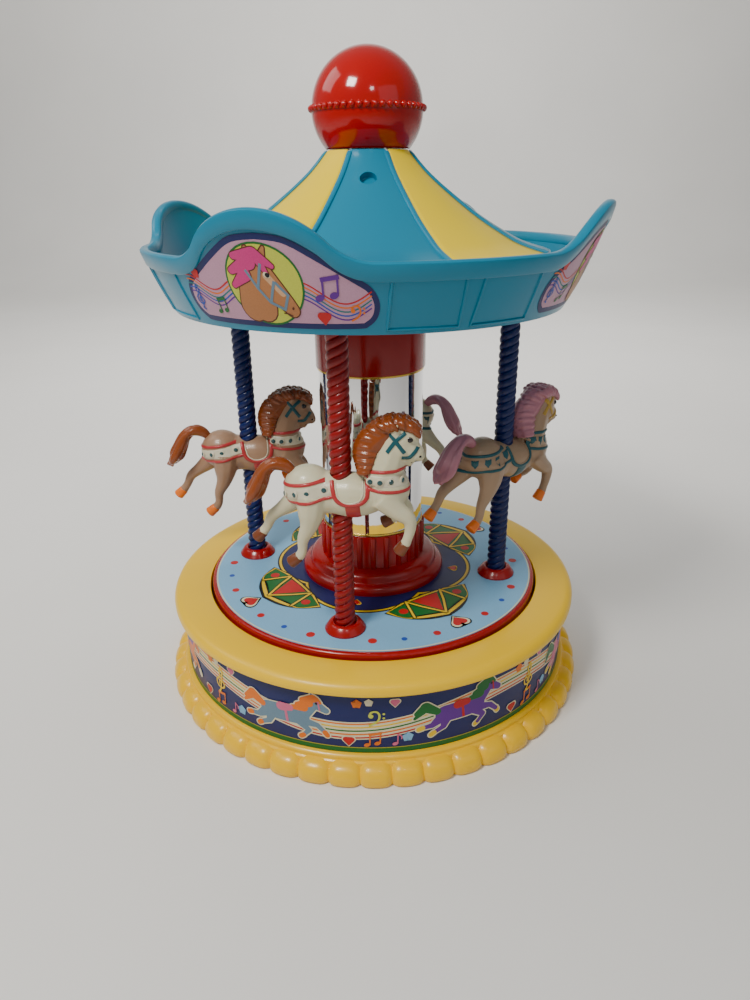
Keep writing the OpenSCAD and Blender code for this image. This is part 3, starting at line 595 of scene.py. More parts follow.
def onValance(az, h, out):
    return around(az, valanceR(h) + out, valanceLow + h)


def screwPlace(k):
    return around(valance["firstArch"] + 45 + 90 * k, valance["screwR"])


def makeValance():
    steps = 480
    wall = []
    lip = []
    for i in range(steps):
        az = 360 * i / steps
        top = edgeHeight(az)
        wallTop = top - 1.2
        rows = 10
        outer = [onValance(az, wallTop * s / rows, 0) for s in range(rows + 1)]
        inner = [onValance(az, wallTop * s / rows, -valance["wall"]) for s in range(rows, -1, -1)]
        wall.append(outer + inner)
        # rounded lip along the edge, standing out with a step under it
        t, o, w = valance["lipTall"], valance["lipOut"], valance["wall"]
        lip.append([onValance(az, top - t, -0.2), onValance(az, top - t, o * 0.75),
                onValance(az, top - t + 0.35, o), onValance(az, top - 1.5, o), onValance(az, top - 0.7,
                o - 0.25), onValance(az, top - 0.18, o - 0.95), onValance(az, top, o - 1.9),
                onValance(az, top - 0.1, -w + 0.3), onValance(az, top - 0.6, -w - 0.25),
                onValance(az, top - 1.5, -w - 0.45), onValance(az, top - 3.0, -w - 0.3),
                onValance(az, top - 3.6, -w + 0.1), onValance(az, top - 3.0, -w + 0.8)])
    parts = [sweptSkin("wall", wall), sweptSkin("lip", lip)]
    # a raised frame round each plain panel between two arches
    frameOut, ridge = 0.55, 0.55
    for k in range(4):
        for az0, az1 in ((3.9, 20.9), (24.1, 41.2)):
            base = 90 * k
            path = []
            low_, high_ = 1.4, 16.6
            for s in range(13):
                path.append((base + az0 + (az1 - az0) * s / 12, low_))
            for s in range(1, 9):
                path.append((base + az1 - 0.6 * s / 8, low_ + (high_ - low_) * s / 8))
            for s in range(1, 13):
                path.append((base + az1 - 0.6 - (az1 - az0 - 1.2) * s / 12, high_))
            for s in range(1, 8):
                path.append((base + az0 + 0.6 - 0.6 * s / 8, high_ - (high_ - low_) * s / 8))
            section = []
            n = len(path)
            for i, (az, h) in enumerate(path):
                pa, pb = path[i - 1], path[(i + 1) % n]
                dx = math.radians(pb[0] - pa[0]) * valance["flatR"]
                dz = pb[1] - pa[1]
                size = math.hypot(dx, dz)
                nx, nz = -dz / size, dx / size
                row = []
                for side, out in ((-1, -0.1), (-0.6, frameOut * 0.8), (0, frameOut), (0.6, frameOut * 0.8),
                        (1, -0.1)):
                    shift = side * ridge
                    row.append(onValance(az + math.degrees(nx * shift / valance["flatR"]), h + nz * shift, out))
                section.append(row)
            parts.append(sweptSkin("panelFrame", section))
    # floor with pole sockets and screw posts
    parts.append(lathe("floor", [(2.05, valanceLow), (valance["r"] - 0.6, valanceLow),
            (valance["r"] - 0.6, valanceLow + 2.4), (2.05, valanceLow + 2.4)], 128, True, (0, 0), 0.2))
    for side in poleNames:
        at = poleAt[side]
        parts.append(lathe("socket", [(3.85, valanceLow + 2), (6, valanceLow + 2), (6, valanceLow + 5.9),
                (3.85, valanceLow + 5.9)], 32, True, (at.x, at.y), 0.2))
    for k in range(4):
        parts.append(lathe("screwPost", [(1.3, valanceLow + 2), (4, valanceLow + 2), (4, valanceLow + 8.3),
                (1.3, valanceLow + 8.3)], 24, True, screwPlace(k), 0.2))
    o = joined("archedCanopy", parts)
    place(o, "carousel", look["blue"], ["canopy"])


roof = {"line": [(15.4, 51.3), (19.5, 46.6), (24, 42.3), (32, 36), (41.4, 29.3), (50, 24.2), (56.6, 20.9),
        (66, 18)], "wall": 2.8, "recess": 0.8, "rib": 1.0, "ribHalf": 0.9, "dimpleR": 2.85,
        "dimpleAt": (0, -24, 42.3)}


def curved(points, per=5):
    # a smooth line through the points, the same one each time
    out = []
    n = len(points)
    for i in range(n - 1):
        p0 = Vector(points[max(i - 1, 0)])
        p1, p2 = Vector(points[i]), Vector(points[i + 1])
        p3 = Vector(points[min(i + 2, n - 1)])
        for s in range(per):
            t = s / per
            out.append(tuple(0.5 * (2 * p1 + (p2 - p0) * t + (2 * p0 - 5 * p1 + 4 * p2 - p3) * t * t
                    + (3 * p1 - p0 - 3 * p2 + p3) * t ** 3)))
    out.append(tuple(points[-1]))
    return out


def makeRoof():
    line = curved(roof["line"], 4)
    z = valanceLow

    def sector(name, k, top, bottom, trim):
        # a 45 degree slice between two heights, its edges trimmed back by a width in mm
        steps = 14
        sections = []
        for i in range(steps + 1):
            row = []
            for r, h in line:
                cut = math.degrees(trim / r)
                az = valance["firstArch"] + 45 * k + cut + (45 - 2 * cut) * i / steps
                row.append(around(az, r, z + h + top))
            for r, h in reversed(line):
                cut = math.degrees(trim / r)
                az = valance["firstArch"] + 45 * k + cut + (45 - 2 * cut) * i / steps
                row.append(around(az, r, z + h + bottom))
            sections.append(row)
        o = sweptSkin(name, sections, False)
        closeEnds(o)
        return o

    blue = [sector("roofSlice", k, 0 if k % 2 == 0 else -roof["recess"] - 0.15, -roof["wall"],
            -0.02) for k in range(8)]
    for k in range(8):
        # rounded ribs from the ball down to the eave
        a = math.radians(valance["firstArch"] + 45 * k)
        along = Vector((math.sin(a), -math.cos(a), 0))
        across = Vector((math.cos(a), math.sin(a), 0))
        sections = []
        ribLine = [p for p in line if p[0] > 15.9]
        for i, (r, h) in enumerate(ribLine):
            foot_ = 1 - 0.6 * (i == 0)
            row = []
            for side, up in ((-1, -1.6), (-1, 0.45), (-0.7, 0.85), (0, 1.0), (0.7, 0.85), (1, 0.45), (1, -1.6)):
                p = along * r + across * side * roof["ribHalf"]
                row.append((p.x, p.y, z + h + (up * roof["rib"] * foot_ if up > 0 else up)))
            sections.append(row)
        o = sweptSkin("roofRib", sections, False)
        closeEnds(o)
        blue.append(o)
    # floor disc under the ball, and the posts that the screws reach
    top = z + roof["line"][0][1]
    blue.append(lathe("roofCentre", [(2.05, top - 4.6), (16.6, top - 4.6), (16.6, top - 2.4),
            (2.05, top - 2.4)], 64))
    for k in range(4):
        blue.append(lathe("roofPost", [(1.2, z + 8.4), (3, z + 8.4), (3, z + 18), (1.2, z + 18)], 24, True,
                screwPlace(k), 0.2))
    o = joined("ribbedRoof", blue)
    # the round dimple in the front slice
    spot = Vector(roof["dimpleAt"]) + Vector((0, 0, z))
    slope = math.atan2(46.6 - 36, 32 - 19.5)
    only()
    bpy.ops.mesh.primitive_cylinder_add(vertices=48, radius=roof["dimpleR"] * mm, depth=6 * mm,
            location=spot * mm, rotation=(slope, 0, 0))
    drill = bpy.context.object
    drill.data.transform(Matrix.Translation((0, 0, 0.75 * mm)))
    m = o.modifiers.new("dimple", "BOOLEAN")
    m.operation = "DIFFERENCE"
    m.object = drill
    m.solver = "EXACT"
    m.use_self = True
    applyAll(o)
    bpy.data.objects.remove(drill)
    cup = lathe("dimpleCup", [(0, -2.4), (2.6, -2.4), (2.86, -2.1), (2.86, -0.35), (3.2, -0.4), (3.2, -2.7),
            (0, -2.7)], 40)
    cup.data.transform(Matrix.Translation(spot * mm) @ Matrix.Rotation(slope, 4, "X"))
    o = joined("ribbedRoof", [o, cup])
    smooth(o, 40)
    place(o, "carousel", look["blue"], ["canopy_roof"])
    panels = [sector("panel", k, 0, -roof["recess"], roof["ribHalf"] + 0.02) for k in range(1, 8, 2)]
    place(joined("roofPanels", panels), "carousel", look["panel"], ["roof_panels"])


makeValance()
makeRoof()
print("canopy is made")


# ---- winding ball ----
ball = {"r": 19.5, "beads": 48, "beadR": 1.15, "wall": 2.0}


def makeBall():
    seam = low("ball_dome").z
    bottom = low("ball_cup").z
    r = ball["r"]
    domeR = r - 0.15
    outer = [(domeR * math.sin(math.radians(90 * i / 32)), seam + domeR * math.cos(math.radians(90 * i / 32)))
            for i in range(33)]
    inner = [((domeR - 2) * math.sin(math.radians(90 * i / 16)),
            seam + (domeR - 2) * math.cos(math.radians(90 * i / 16))) for i in range(16, -1, -1)]
    dome = lathe("ballDome", outer + inner, 128, False)
    place(dome, "winder", look["ballRed"], ["ball_dome"])
    drop = seam - bottom
    low_ = math.asin(drop / r)
    cupOut = [(r * math.cos(low_ * i / 20), seam - r * math.sin(low_ * i / 20)) for i in range(20, 0, -1)]
    footR_ = r * math.cos(low_)
    outline = ([(2, bottom), (footR_ - 0.5, bottom)] + cupOut + [(r + 0.25, seam - 1.1),
            (r + 0.25, seam - 0.05), (r - 2, seam - 0.05), (r - 2.1, seam - 4), (footR_ - 1.5, bottom + 2),
            (5, bottom + 2), (5, bottom + 14), (2, bottom + 14)])
    cup = lathe("ballCup", outline, 128, True)
    only()
    bpy.ops.mesh.primitive_uv_sphere_add(segments=14, ring_count=8, radius=ball["beadR"] * mm,
            location=(0, -(r + 0.05) * mm, seam * mm))
    bead = bpy.context.object
    settle(bead)
    aroundAxis(bead, ball["beads"])
    o = joined("beadedCup", [cup, bead])
    smooth(o, 45)
    place(o, "winder", look["ballRed"], ["ball_cup"])


makeBall()
print("ball is made")


# ---- horses ----
# modelled once, nose towards +X with the saddle at the origin, in mm; each coat is a copy
pony = {"eggs": [((3.5, 0, -8.6), (13.5, 7.6, 8.0)), ((-11.3, 0, -6.6), (9.0, 7.7, 8.3)),
        ((16.0, 0, -5.8), (8.0, 7.2, 8.2)), ((-4.0, 0, -8.2), (12.0, 7.2, 7.6)), ((20.4, 0, 12.4),
        (5.6, 4.9, 5.8)), ((23.6, 0, 13.4), (3.6, 3.6, 3.8)), ((20.2, 2.0, 9.6), (4.2, 3.1, 4.4)),
        ((20.2, -2.0, 9.6), (4.2, 3.1, 4.4)), ((27.0, 0, 6.3), (1.9, 2.7, 1.9))],
        "nearHind": [(-9.5, -3.4, -8, 6.0), (-10, -4.3, -14.5, 4.9), (-11, -4.6, -19.6, 3.3),
        (-13.4, -4.6, -25, 2.15), (-13.8, -4.6, -29.4, 1.75), (-15.2, -4.6, -31.9, 2.05)],
        "farHind": [(-12, 3.4, -8, 5.6), (-17.4, 4.3, -13, 4.2), (-22.6, 4.6, -17.2, 2.8),
        (-26.6, 4.6, -20.4, 2.2), (-28.6, 4.6, -24.4, 1.8), (-30.6, 4.6, -27.2, 2.0)],
        "nearFore": [(15, -3.2, -8, 5.0), (20, -4.1, -12.4, 3.6), (23.8, -4.4, -15, 2.7),
        (24.5, -4.4, -18.6, 2.1), (23.6, -4.4, -22.6, 1.75), (22.7, -4.4, -25, 2.0)],
        "farFore": [(15.5, 3.2, -8, 4.8), (20, 4.1, -12.8, 3.4), (22.5, 4.4, -16, 2.6), (20.8, 4.4, -18.2, 1.9),
        (18.2, 4.4, -18.8, 1.75), (17, 4.4, -19.4, 1.95)], "neck": [(13.5, 0, -3, 7.4), (15.8, 0, 2.5, 6.3),
        (17.6, 0, 7.5, 5.5), (19.2, 0, 12, 5.0)], "muzzle": [(20.0, 0, 12, 5.0), (22.8, 0, 9.6, 4.2),
        (25.0, 0, 7.3, 3.7), (26.3, 0, 5.9, 3.2)], "chin": [(20.5, 0, 8, 3.6), (23.2, 0, 5.6, 2.8),
        (25.2, 0, 4.2, 2.2)], "hooves": [((-15.0, -4.6, -31.6), (-18.4, -4.6, -34.4)),
        ((-30.2, 4.6, -26.8), (-33.2, 4.6, -29.8)), ((22.8, -4.4, -24.6), (20.4, -4.4, -28.2)),
        ((17.4, 4.4, -19.2), (13.8, 4.4, -21.0))], "maneRoot": [(25.4, 15.4), (21.8, 16.2), (17.8, 15.6),
        (14.8, 12.0), (13.2, 8.0), (12.0, 4.4), (11.0, 1.8)], "maneTip": [(26.8, 14.2), (25.0, 17.6),
        (19.4, 19.8), (12.6, 18.2), (7.2, 13.4), (5.0, 7.4), (6.2, 1.0)], "tail": [(-16.5, -1.4), (-19.4, 1.0),
        (-23.4, 1.6), (-26.8, -1.0), (-29.0, -5.4), (-31.0, -9.6), (-33.2, -13.2)], "voxel": 0.46,}


def tubes(name, strands, flat=1.0):
    # each strand is a list of (x, y, z, radius) in mm
    data = bpy.data.curves.new(name, "CURVE")
    data.dimensions = "3D"
    data.bevel_depth = 1.0 * mm
    data.bevel_resolution = 3
    data.use_fill_caps = True
    for strand in strands:
        line = curved(strand, 5)
        spline = data.splines.new("POLY")
        spline.points.add(len(line) - 1)
        for p, (x, y, z, r) in zip(spline.points, line):
            p.co = (x * mm, y * mm * flat, z * mm, 1)
            p.radius = r
    o = bpy.data.objects.new(name, data)
    bpy.context.scene.collection.objects.link(o)
    only(o)
    bpy.ops.object.convert(target="MESH")
    return bpy.context.object


def egg(centre, radii, ring=20):
    only()
    bpy.ops.mesh.primitive_uv_sphere_add(segments=ring, ring_count=ring // 2 + 2, radius=mm,
            location=Vector(centre) * mm, scale=radii)
    o = bpy.context.object
    settle(o)
    return o


def taper(a, b, ra, rb, sides=20):
    # a hoof or an ear: a cone between two points
    a, b = Vector(a), Vector(b)
    only()
    bpy.ops.mesh.primitive_cone_add(vertices=sides, radius1=ra * mm, radius2=rb * mm, depth=(b - a).length * mm,
            location=(a + b) / 2 * mm, rotation=(b - a).to_track_quat("Z", "Y").to_euler())
    o = bpy.context.object
    settle(o)
    return o


def melted(name, parts, voxel, passes, factor=0.6):
    # one skin over everything, then smoothed
    o = joined(name, parts)
    m = o.modifiers.new("skin", "REMESH")
    m.mode = "VOXEL"
    m.voxel_size = voxel * mm
    m = o.modifiers.new("ease", "SMOOTH")
    m.factor = factor
    m.iterations = passes
    applyAll(o)
    bpy.ops.object.shade_smooth()
    return o


def modelPonyBody():
    parts = [egg(c, r) for c, r in pony["eggs"]]
    parts.append(tubes("limbs", [pony[k] for k in ("nearHind", "farHind", "nearFore", "farFore", "neck",
            "muzzle", "chin")]))
    for s in (-1, 1):
        parts.append(taper((18.6, 3.2 * s, 14.2), (20.2, 5.2 * s, 18.6), 1.8, 0.35))
    body = melted("ponyBody", parts, pony["voxel"], 7)
    only()
    bpy.ops.mesh.primitive_cylinder_add(vertices=64, radius=(poleR + 0.06) * mm, depth=60 * mm,
            location=(0, 0, -8 * mm))
    drill = bpy.context.object
    m = body.modifiers.new("poleBore", "BOOLEAN")
    m.operation = "DIFFERENCE"
    m.object = drill
    m.solver = "EXACT"
    applyAll(body)
    bpy.data.objects.remove(drill)
    return body


def modelPonyHair(tree):
    # a full crest in the middle, with combed strands swept back and down over both sides
    roots = curved(pony["maneRoot"], 8)
    tips = curved(pony["maneTip"], 8)
    strands = [[(24.4, 0, 14.8, 2.0), (21.0, 0, 15.6, 3.2), (16.6, 0, 14.6, 4.2), (12.6, 0, 11.4, 4.6),
            (9.8, 0, 7.6, 4.3), (8.6, 0, 3.4, 3.2)]]
    n = 22
    for i in range(n):
        t = i / (n - 1)
        root = Vector(roots[round(t * (len(roots) - 1))])
        tip = Vector(tips[round(min(1, 0.10 + t * 0.92 + 0.10 * math.sin(math.pi * t)) * (len(tips) - 1))])
        for s in (-1, 1):
            hit = onSkin(tree, (root.x, 0, root.y), (0, s, 0))
            wide = abs(hit.y) if hit is not None else 3.0
            wide = max(2.6, min(wide, 6.2)) + (0.45 if i % 2 else -0.1)
            a = root.lerp(tip, 0.30) + Vector((-0.3, 0.9 * (1 - t)))
            b = root.lerp(tip, 0.66) + Vector((-0.5, 0.9 * (1 - t)))
            strands.append([(root.x, s * wide, root.y, 0.55), (a.x, s * (wide + 0.45), a.y, 0.85),
                    (b.x, s * (wide * 0.9), b.y, 0.9), (tip.x + 0.9, s * wide * 0.62, tip.y - 0.2, 0.85),
                    (tip.x, s * wide * 0.3, tip.y - 0.9 * t, 0.6)])
            a = root.lerp(tip, 0.45)
            strands.append([(a.x, s * wide * 0.72, a.y + 0.3, 0.9), ((a.x + tip.x) / 2, s * wide * 0.5,
                    (a.y + tip.y) / 2 + 0.5, 1.0), (tip.x + 0.2, s * wide * 0.2, tip.y, 0.9),
                    (tip.x - 0.1, 0, tip.y - 0.9, 0.7)])
    # forelock over the brow
    for y in (-2.4, -0.8, 0.8, 2.4):
        strands.append([(21.5, y, 16.8, 1.3), (25.0, y * 1.2, 16.2, 1.3), (26.8, y * 1.1, 14.4, 1.0),
                (27.2, y, 13.2, 0.5)])
    # the tail is a sheaf of locks that swells and closes again
    sheaf = pony["tail"]
    swell = (0.7, 1.4, 2.0, 2.5, 3.2, 3.2, 1.5)
    for k in range(13):
        a = math.tau * k / 12
        reach = 0 if k == 12 else 1
        lock = []
        for (x, z), w in zip(sheaf, swell):
            turn = a + 0.5
            lock.append((x + reach * w * 0.75 * math.cos(turn), reach * w * 1.1 * math.sin(turn),
                    z + reach * w * 0.75 * math.cos(turn), (0.45 + 0.3 * w) if reach else 0.7 + 0.8 * w))
        lock[-1] = lock[-1][:3] + (0.5,)
        lock[-1] = (lock[-1][0] - 1.2 * (k % 3 - 1), lock[-1][1], lock[-1][2] + 0.8 * (k % 2), 0.5)
        strands.append(lock)
    return melted("ponyHair", [tubes("hair", strands)], 0.34, 1, 0.4)


def surfaceOf(o):
    bm = bmesh.new()
    bm.from_mesh(o.data)
    tree = BVHTree.FromBMesh(bm)
    bm.free()
    return tree


def onSkin(tree, point, way):
    # the outermost surface met from outside, looking back along way
    way = Vector(way).normalized()
    start = (Vector(point) + way * 26) * mm
    hit = tree.ray_cast(start, -way)[0]
    return None if hit is None else hit / mm


def strap(tree, path, wide, thick=0.42):
    # path is (point inside, direction out[, width]) in mm; a rounded band that hugs the skin
    sections = []
    n = len(path)
    for i, (point, way, *own) in enumerate(path):
        a, b = path[max(i - 1, 0)], path[min(i + 1, n - 1)]
        pa, pb = onSkin(tree, a[0], a[1]), onSkin(tree, b[0], b[1])
        way = Vector(way).normalized()
        if pa is None or pb is None or (pb - pa).length < 0.01:
            continue
        side = way.cross((pb - pa).normalized()).normalized()
        w = own[0] if own else wide
        row = []
        for k, lift in ((-1, -0.25), (-0.92, 0.6), (-0.4, 1.0), (0.4, 1.0), (0.92, 0.6), (1, -0.25)):
            hit = onSkin(tree, Vector(point) + side * k * w / 2, way)
            if hit is None:
                break
            row.append(hit + way * thick * lift)
        if len(row) == 6:
            sections.append([tuple(p) for p in row])
    if len(sections) < 2:
        return None
    k = len(sections[0])
    points = [p for s in sections for p in s]
    faces = [(i * k + s, (i + 1) * k + s, (i + 1) * k + (s + 1) % k,
            i * k + (s + 1) % k) for i in range(len(sections) - 1) for s in range(k)]
    ends = [tuple(range(k)), tuple(range((len(sections) - 1) * k, len(sections) * k))]
    o = meshFrom("strap", points, [], faces + ends)
    weld(o, 0.001)
    smooth(o, 60)
    return o


def roundTorso(x, degrees, s=1):
    a = math.radians(degrees)
    return ((x, 0, -8.4), (0, s * math.cos(a), math.sin(a)))


def bandPath(cx, x0, z0, z1, rear):
    # along one side, round the rump or the chest, and back along the other
    sign = -1 if rear else 1
    path = []
    steps = 5
    for i in range(steps):
        x = x0 + (cx - x0) * i / steps
        path.append(((x, 0, z0 + (z1 - z0) * 0.45 * i / steps), (0, -1, 0)))
    for i in range(25):
        a = math.radians(-90 + 180 * i / 24)
        share = 1 - abs(i - 12) / 12
        path.append(((cx, 0, z0 + (z1 - z0) * (0.45 + 0.55 * share)), (sign * math.cos(a), math.sin(a), 0)))
    for i in range(steps):
        x = cx + (x0 - cx) * (i + 1) / steps
        path.append(((x, 0, z0 + (z1 - z0) * 0.45 * (1 - (i + 1) / steps)), (0, 1, 0)))
    return path


def modelTack(tree, pattern):
    red, jewels, cream = [], [], []
    for cx, x0, upper, lower, rear in ((-9.5, -1.6, (-1.4, -4.8), (-7.0, -11.6), True),
            (13.5, 9.4, (1.8, 2.4), (-4.2, -5.0), False)):
        red.append(strap(tree, bandPath(cx, x0, upper[0], upper[1], rear), 1.15))
        red.append(strap(tree, bandPath(cx, x0, lower[0], lower[1], rear), 1.15))
        middle = bandPath(cx, x0, (upper[0] + lower[0]) / 2, (upper[1] + lower[1]) / 2, rear)
        cream.append(strap(tree, middle, 3.9, 0.16))
        picks = (2, 6, 10, 14, 20, 24, 28, 32)
        for i in picks:
            point, way = middle[i]
            hit = onSkin(tree, point, way)
            if hit is None:
                continue
            if pattern == "jewels":
                for r, out, into in ((1.45, 0.05, cream), (0.95, 0.35, jewels)):
                    o = egg((0, 0, 0), (r, r, 0.5), 14)
                    turn = Vector(way).to_track_quat("Z", "Y").to_matrix().to_4x4()
                    o.data.transform(Matrix.Translation((hit + Vector(way).normalized() * out) * mm) @ turn)
                    into.append(o)
            else:
                # a pennant that hangs from the upper line
                nxt = middle[i + 1]
                prv = middle[i - 1]
                flag = []
                for t in range(7):
                    p = Vector(prv[0]).lerp(Vector(nxt[0]), t / 6)
                    w = Vector(prv[1]).lerp(Vector(nxt[1]), t / 6)
                    tall = 3.6 * (1 - abs(t - 3) / 3.2)
                    flag.append((p + Vector((0, 0, 1.9 - tall / 2)), w, max(0.3, tall)))
                red.append(strap(tree, flag, 1, 0.35))
    for s in (-1, 1):
        saddle = [(8.6, 88), (9.5, 62), (10.0, 34), (9.9, 12), (8.6, -3), (6.2, -10), (3.6, -12), (1.2, -8),
                (-0.7, 3), (-1.7, 25), (-2.4, 55), (-3.0, 84)]
        line = [roundTorso(x, a, s) for x, a in curved(saddle, 4)]
        red.append(strap(tree, line, 1.5, 0.5))
        mid = 3.4
        inner = [roundTorso(mid + (x - mid) * 0.78, a + (6 if a < 20 else 0), s) for x, a in curved(saddle, 4)]
        cream.append(strap(tree, inner, 0.5, 0.3))
    red.append(strap(tree, [roundTorso(5.0, -14 - 152 * i / 20) for i in range(21)], 5.2, 0.35))
    return [p for p in red if p], [p for p in cream if p], jewels


def modelBridle(tree):
    lines = [[(16.2, 16.0), (19.4, 12.6), (22.4, 8.6)], [(22.6, 15.4), (19.4, 12.6), (16.6, 8.8)],
            [(21.4, 6.8), (23.6, 6.6), (25.6, 8.6), (26.8, 10.4)]]
    parts = []
    for line in lines:
        for s in (-1, 1):
            parts.append(strap(tree, [((x, 0, z), (0, s, 0)) for x, z in curved(line, 5)], 1.35, 0.4))
    return [p for p in parts if p]


def modelFace(tree):
    dark = []
    for s in (-1, 1):
        for x, z, rx, rz in ((23.9, 12.9, 1.25, 0.95), (27.4, 6.9, 0.5, 0.4)):
            hit = onSkin(tree, (x, 0, z), (0, s, 0))
            if hit is not None:
                dark.append(egg(hit - Vector((0, 0.12 * s, 0)), (rx, 0.55, rz), 16))
        # the mouth is a thin near-black strap: painted shade standing in for the moulded mouth groove
        mouthShadeLine = strap(tree, [((x, 0, z), (0, s, 0)) for x, z in ((24.4, 4.6), (25.6, 4.9), (26.8, 4.9))], 0.35,
                0.12)
        if mouthShadeLine:
            dark.append(mouthShadeLine)
    return dark


paints = {"white": mouldedPlastic("paintWhite", (0.62, 0.58, 0.39), 0.28, 0.1, 0.12, 60),
        "tan": mouldedPlastic("paintTan", (0.34, 0.20, 0.12), 0.3, 0.1, 0.08, 60),
        "dun": mouldedPlastic("paintDun", (0.36, 0.24, 0.15), 0.3, 0.1, 0.08, 60),
        "cream": mouldedPlastic("paintCream", (0.62, 0.57, 0.42), 0.3, 0.1, 0.05, 80),
        "ginger": mouldedPlastic("paintGinger", (0.24, 0.052, 0.008), 0.22, 0.25, 0.03, 160),
        "pink": mouldedPlastic("paintPink", (0.42, 0.17, 0.22), 0.3, 0.15, 0.05, 160),
        "tackRed": mouldedPlastic("paintTackRed", (0.42, 0.03, 0.032), 0.3, 0.1, 0, 90),
        "tackTeal": mouldedPlastic("paintTackTeal", (0.006, 0.085, 0.105), 0.3, 0.1, 0, 90),
        "bridleYellow": mouldedPlastic("paintBridleYellow", (0.45, 0.28, 0.04), 0.3, 0.1, 0, 90),
        "hoofBrown": mouldedPlastic("paintHoofBrown", (0.17, 0.045, 0.015), 0.28, 0.2, 0, 90),
        "hoofOrange": mouldedPlastic("paintHoofOrange", (0.80, 0.17, 0.01), 0.3, 0.1, 0.05, 90),
        # near-black paint for the eyes and nostrils, also used as the painted shade of the mouth groove
        "eye": mouldedPlastic("paintDarkDotsAndMouthShade", (0.012, 0.008, 0.007), 0.12, 0.4, 0, 90),
        "gem": mouldedPlastic("paintGem", (0.02, 0.07, 0.075), 0.15, 0.5, 0, 90),}
coats = {"front": {"coat": "white", "hair": "ginger", "tack": "tackRed", "bridle": "tackTeal",
        "hoof": "hoofBrown", "pattern": "jewels", "slot": "white_horse"}, "left": {"coat": "tan",
        "hair": "ginger", "tack": "tackRed", "bridle": "tackTeal", "hoof": "hoofOrange", "pattern": "jewels",
        "slot": "tan_horse"}, "right": {"coat": "dun", "hair": "pink", "tack": "tackTeal",
        "bridle": "bridleYellow", "hoof": "hoofOrange", "pattern": "pennants", "slot": "tan_horse"},
        "back": {"coat": "white", "hair": "pink", "tack": "tackTeal", "bridle": "tackTeal", "hoof": "hoofBrown",
        "pattern": "pennants", "slot": "white_horse"},}


def copyOf(o, name):
    c = o.copy()
    c.data = o.data.copy()
    c.name = name
    c.data.name = name
    bpy.context.scene.collection.objects.link(c)
    return c


def makeHorses():
    body = modelPonyBody()
    tree = surfaceOf(body)
    hair = modelPonyHair(tree)
    hooves = []
    for a, b in pony["hooves"]:
        hoof = taper(a, b, 1.95, 2.35, 24)
        bevelled(hoof, 0.55, 3)
        hooves.append(hoof)
    hooves = joined("hooves", hooves)
    smooth(hooves, 50)
    face = joined("face", modelFace(tree))
    smooth(face, 60)
    bridle = joined("bridle", modelBridle(tree))
    sets = {}
    for pattern in ("jewels", "pennants"):
        red, cream, gems = modelTack(tree, pattern)
        sets[pattern] = [joined("straps", red), joined("pads", cream), joined("gems", gems) if gems else None]
    for side in poleNames:
        c = coats[side]
        at = poleAt[side]
        spot = Matrix.Translation(Vector((at.x, at.y, saddleZ[side]))
                * mm) @ Matrix.Rotation(math.radians(heading[side]), 4, "Z")
        spot = spot @ Matrix.Rotation(math.radians(noseDown[side]), 4, "Y")
        straps, pads, gems = sets[c["pattern"]]
        groups = {"horseBody_": ([(body, c["coat"]), (hooves, c["hoof"]), (face, "eye")], True),
                "horseHair_": ([(hair, c["hair"])], False), "horseTack_": ([(straps, c["tack"]),
                (pads, "cream" if c["pattern"] == "jewels" else c["coat"])] + ([(gems,
                "gem")] if gems else []) + [(bridle, c["bridle"])], False),}
        for stem, (members, isBody) in groups.items():
            copies = []
            for part, paint in members:
                k = copyOf(part, stem + side)
                k.data.materials.clear()
                k.data.materials.append(paints[paint])
                for poly in k.data.polygons:
                    poly.material_index = 0
                copies.append(k)
            o = joined(stem + side, copies)
            o.data.transform(spot)
            if isBody:
                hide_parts("horse_" + side)
            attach(o, "horse_" + side)
    for o in [body, hair, hooves, face, bridle] + [p for s in sets.values() for p in s if p]:
        bpy.data.objects.remove(o)


makeHorses()
print("horses are made")


# ---- printed art ----
# every sheet is a list of flat shapes (outline in mm, ink, layer), raised a hair per layer and wrapped on
inkOf = {"navy": (0.008, 0.014, 0.10), "green": (0.004, 0.13, 0.02), "lime": (0.52, 0.56, 0.06),
        "red": (0.50, 0.010, 0.010), "orange": (0.74, 0.16, 0.006), "yellow": (0.80, 0.52, 0.01),
        "pink": (0.62, 0.13, 0.24), "mauve": (0.50, 0.27, 0.38), "sky": (0.20, 0.44, 0.66),
        "blue": (0.012, 0.07, 0.42), "purple": (0.11, 0.015, 0.25), "cream": (0.72, 0.66, 0.44),
        "black": (0.006, 0.006, 0.008), "tan": (0.42, 0.17, 0.06), "magenta": (0.58, 0.03, 0.20),
        "teal": (0.006, 0.17, 0.18), "steelBlue": (0.13, 0.22, 0.30), "brown": (0.10, 0.025, 0.008),
        "light": (0.62, 0.36, 0.19), "olive": (0.36, 0.34, 0.02),}
inks = {name: printedInk("ink" + name.capitalize(), colour) for name, colour in inkOf.items()}


def oval(u, v, ru, rv=None, turn=0.0, n=None):
    rv = ru if rv is None else rv
    n = n or max(10, min(72, int(9 * math.sqrt(max(ru, rv))) + 6))
    c, s = math.cos(math.radians(turn)), math.sin(math.radians(turn))
    pts = [(ru * math.cos(math.tau * i / n), rv * math.sin(math.tau * i / n)) for i in range(n)]
    return [(u + x * c - y * s, v + x * s + y * c) for x, y in pts]


def blob(a, b, ra, rb, n=8):
    # hull of two circles
    dx, dy = b[0] - a[0], b[1] - a[1]
    d = math.hypot(dx, dy)
    if d <= abs(ra - rb) + 0.001:
        return oval(*(a if ra > rb else b), max(ra, rb))
    t = math.atan2(dy, dx)
    k = math.acos((ra - rb) / d)
    out = [(a[0] + ra * math.cos(t + k + (math.tau - 2 * k) * i / n),
            a[1] + ra * math.sin(t + k + (math.tau - 2 * k) * i / n)) for i in range(n + 1)]
    return out + [(b[0] + rb * math.cos(t - k + 2 * k * i / n), b[1] + rb * math.sin(t - k + 2 * k * i / n))
            for i in range(n + 1)]


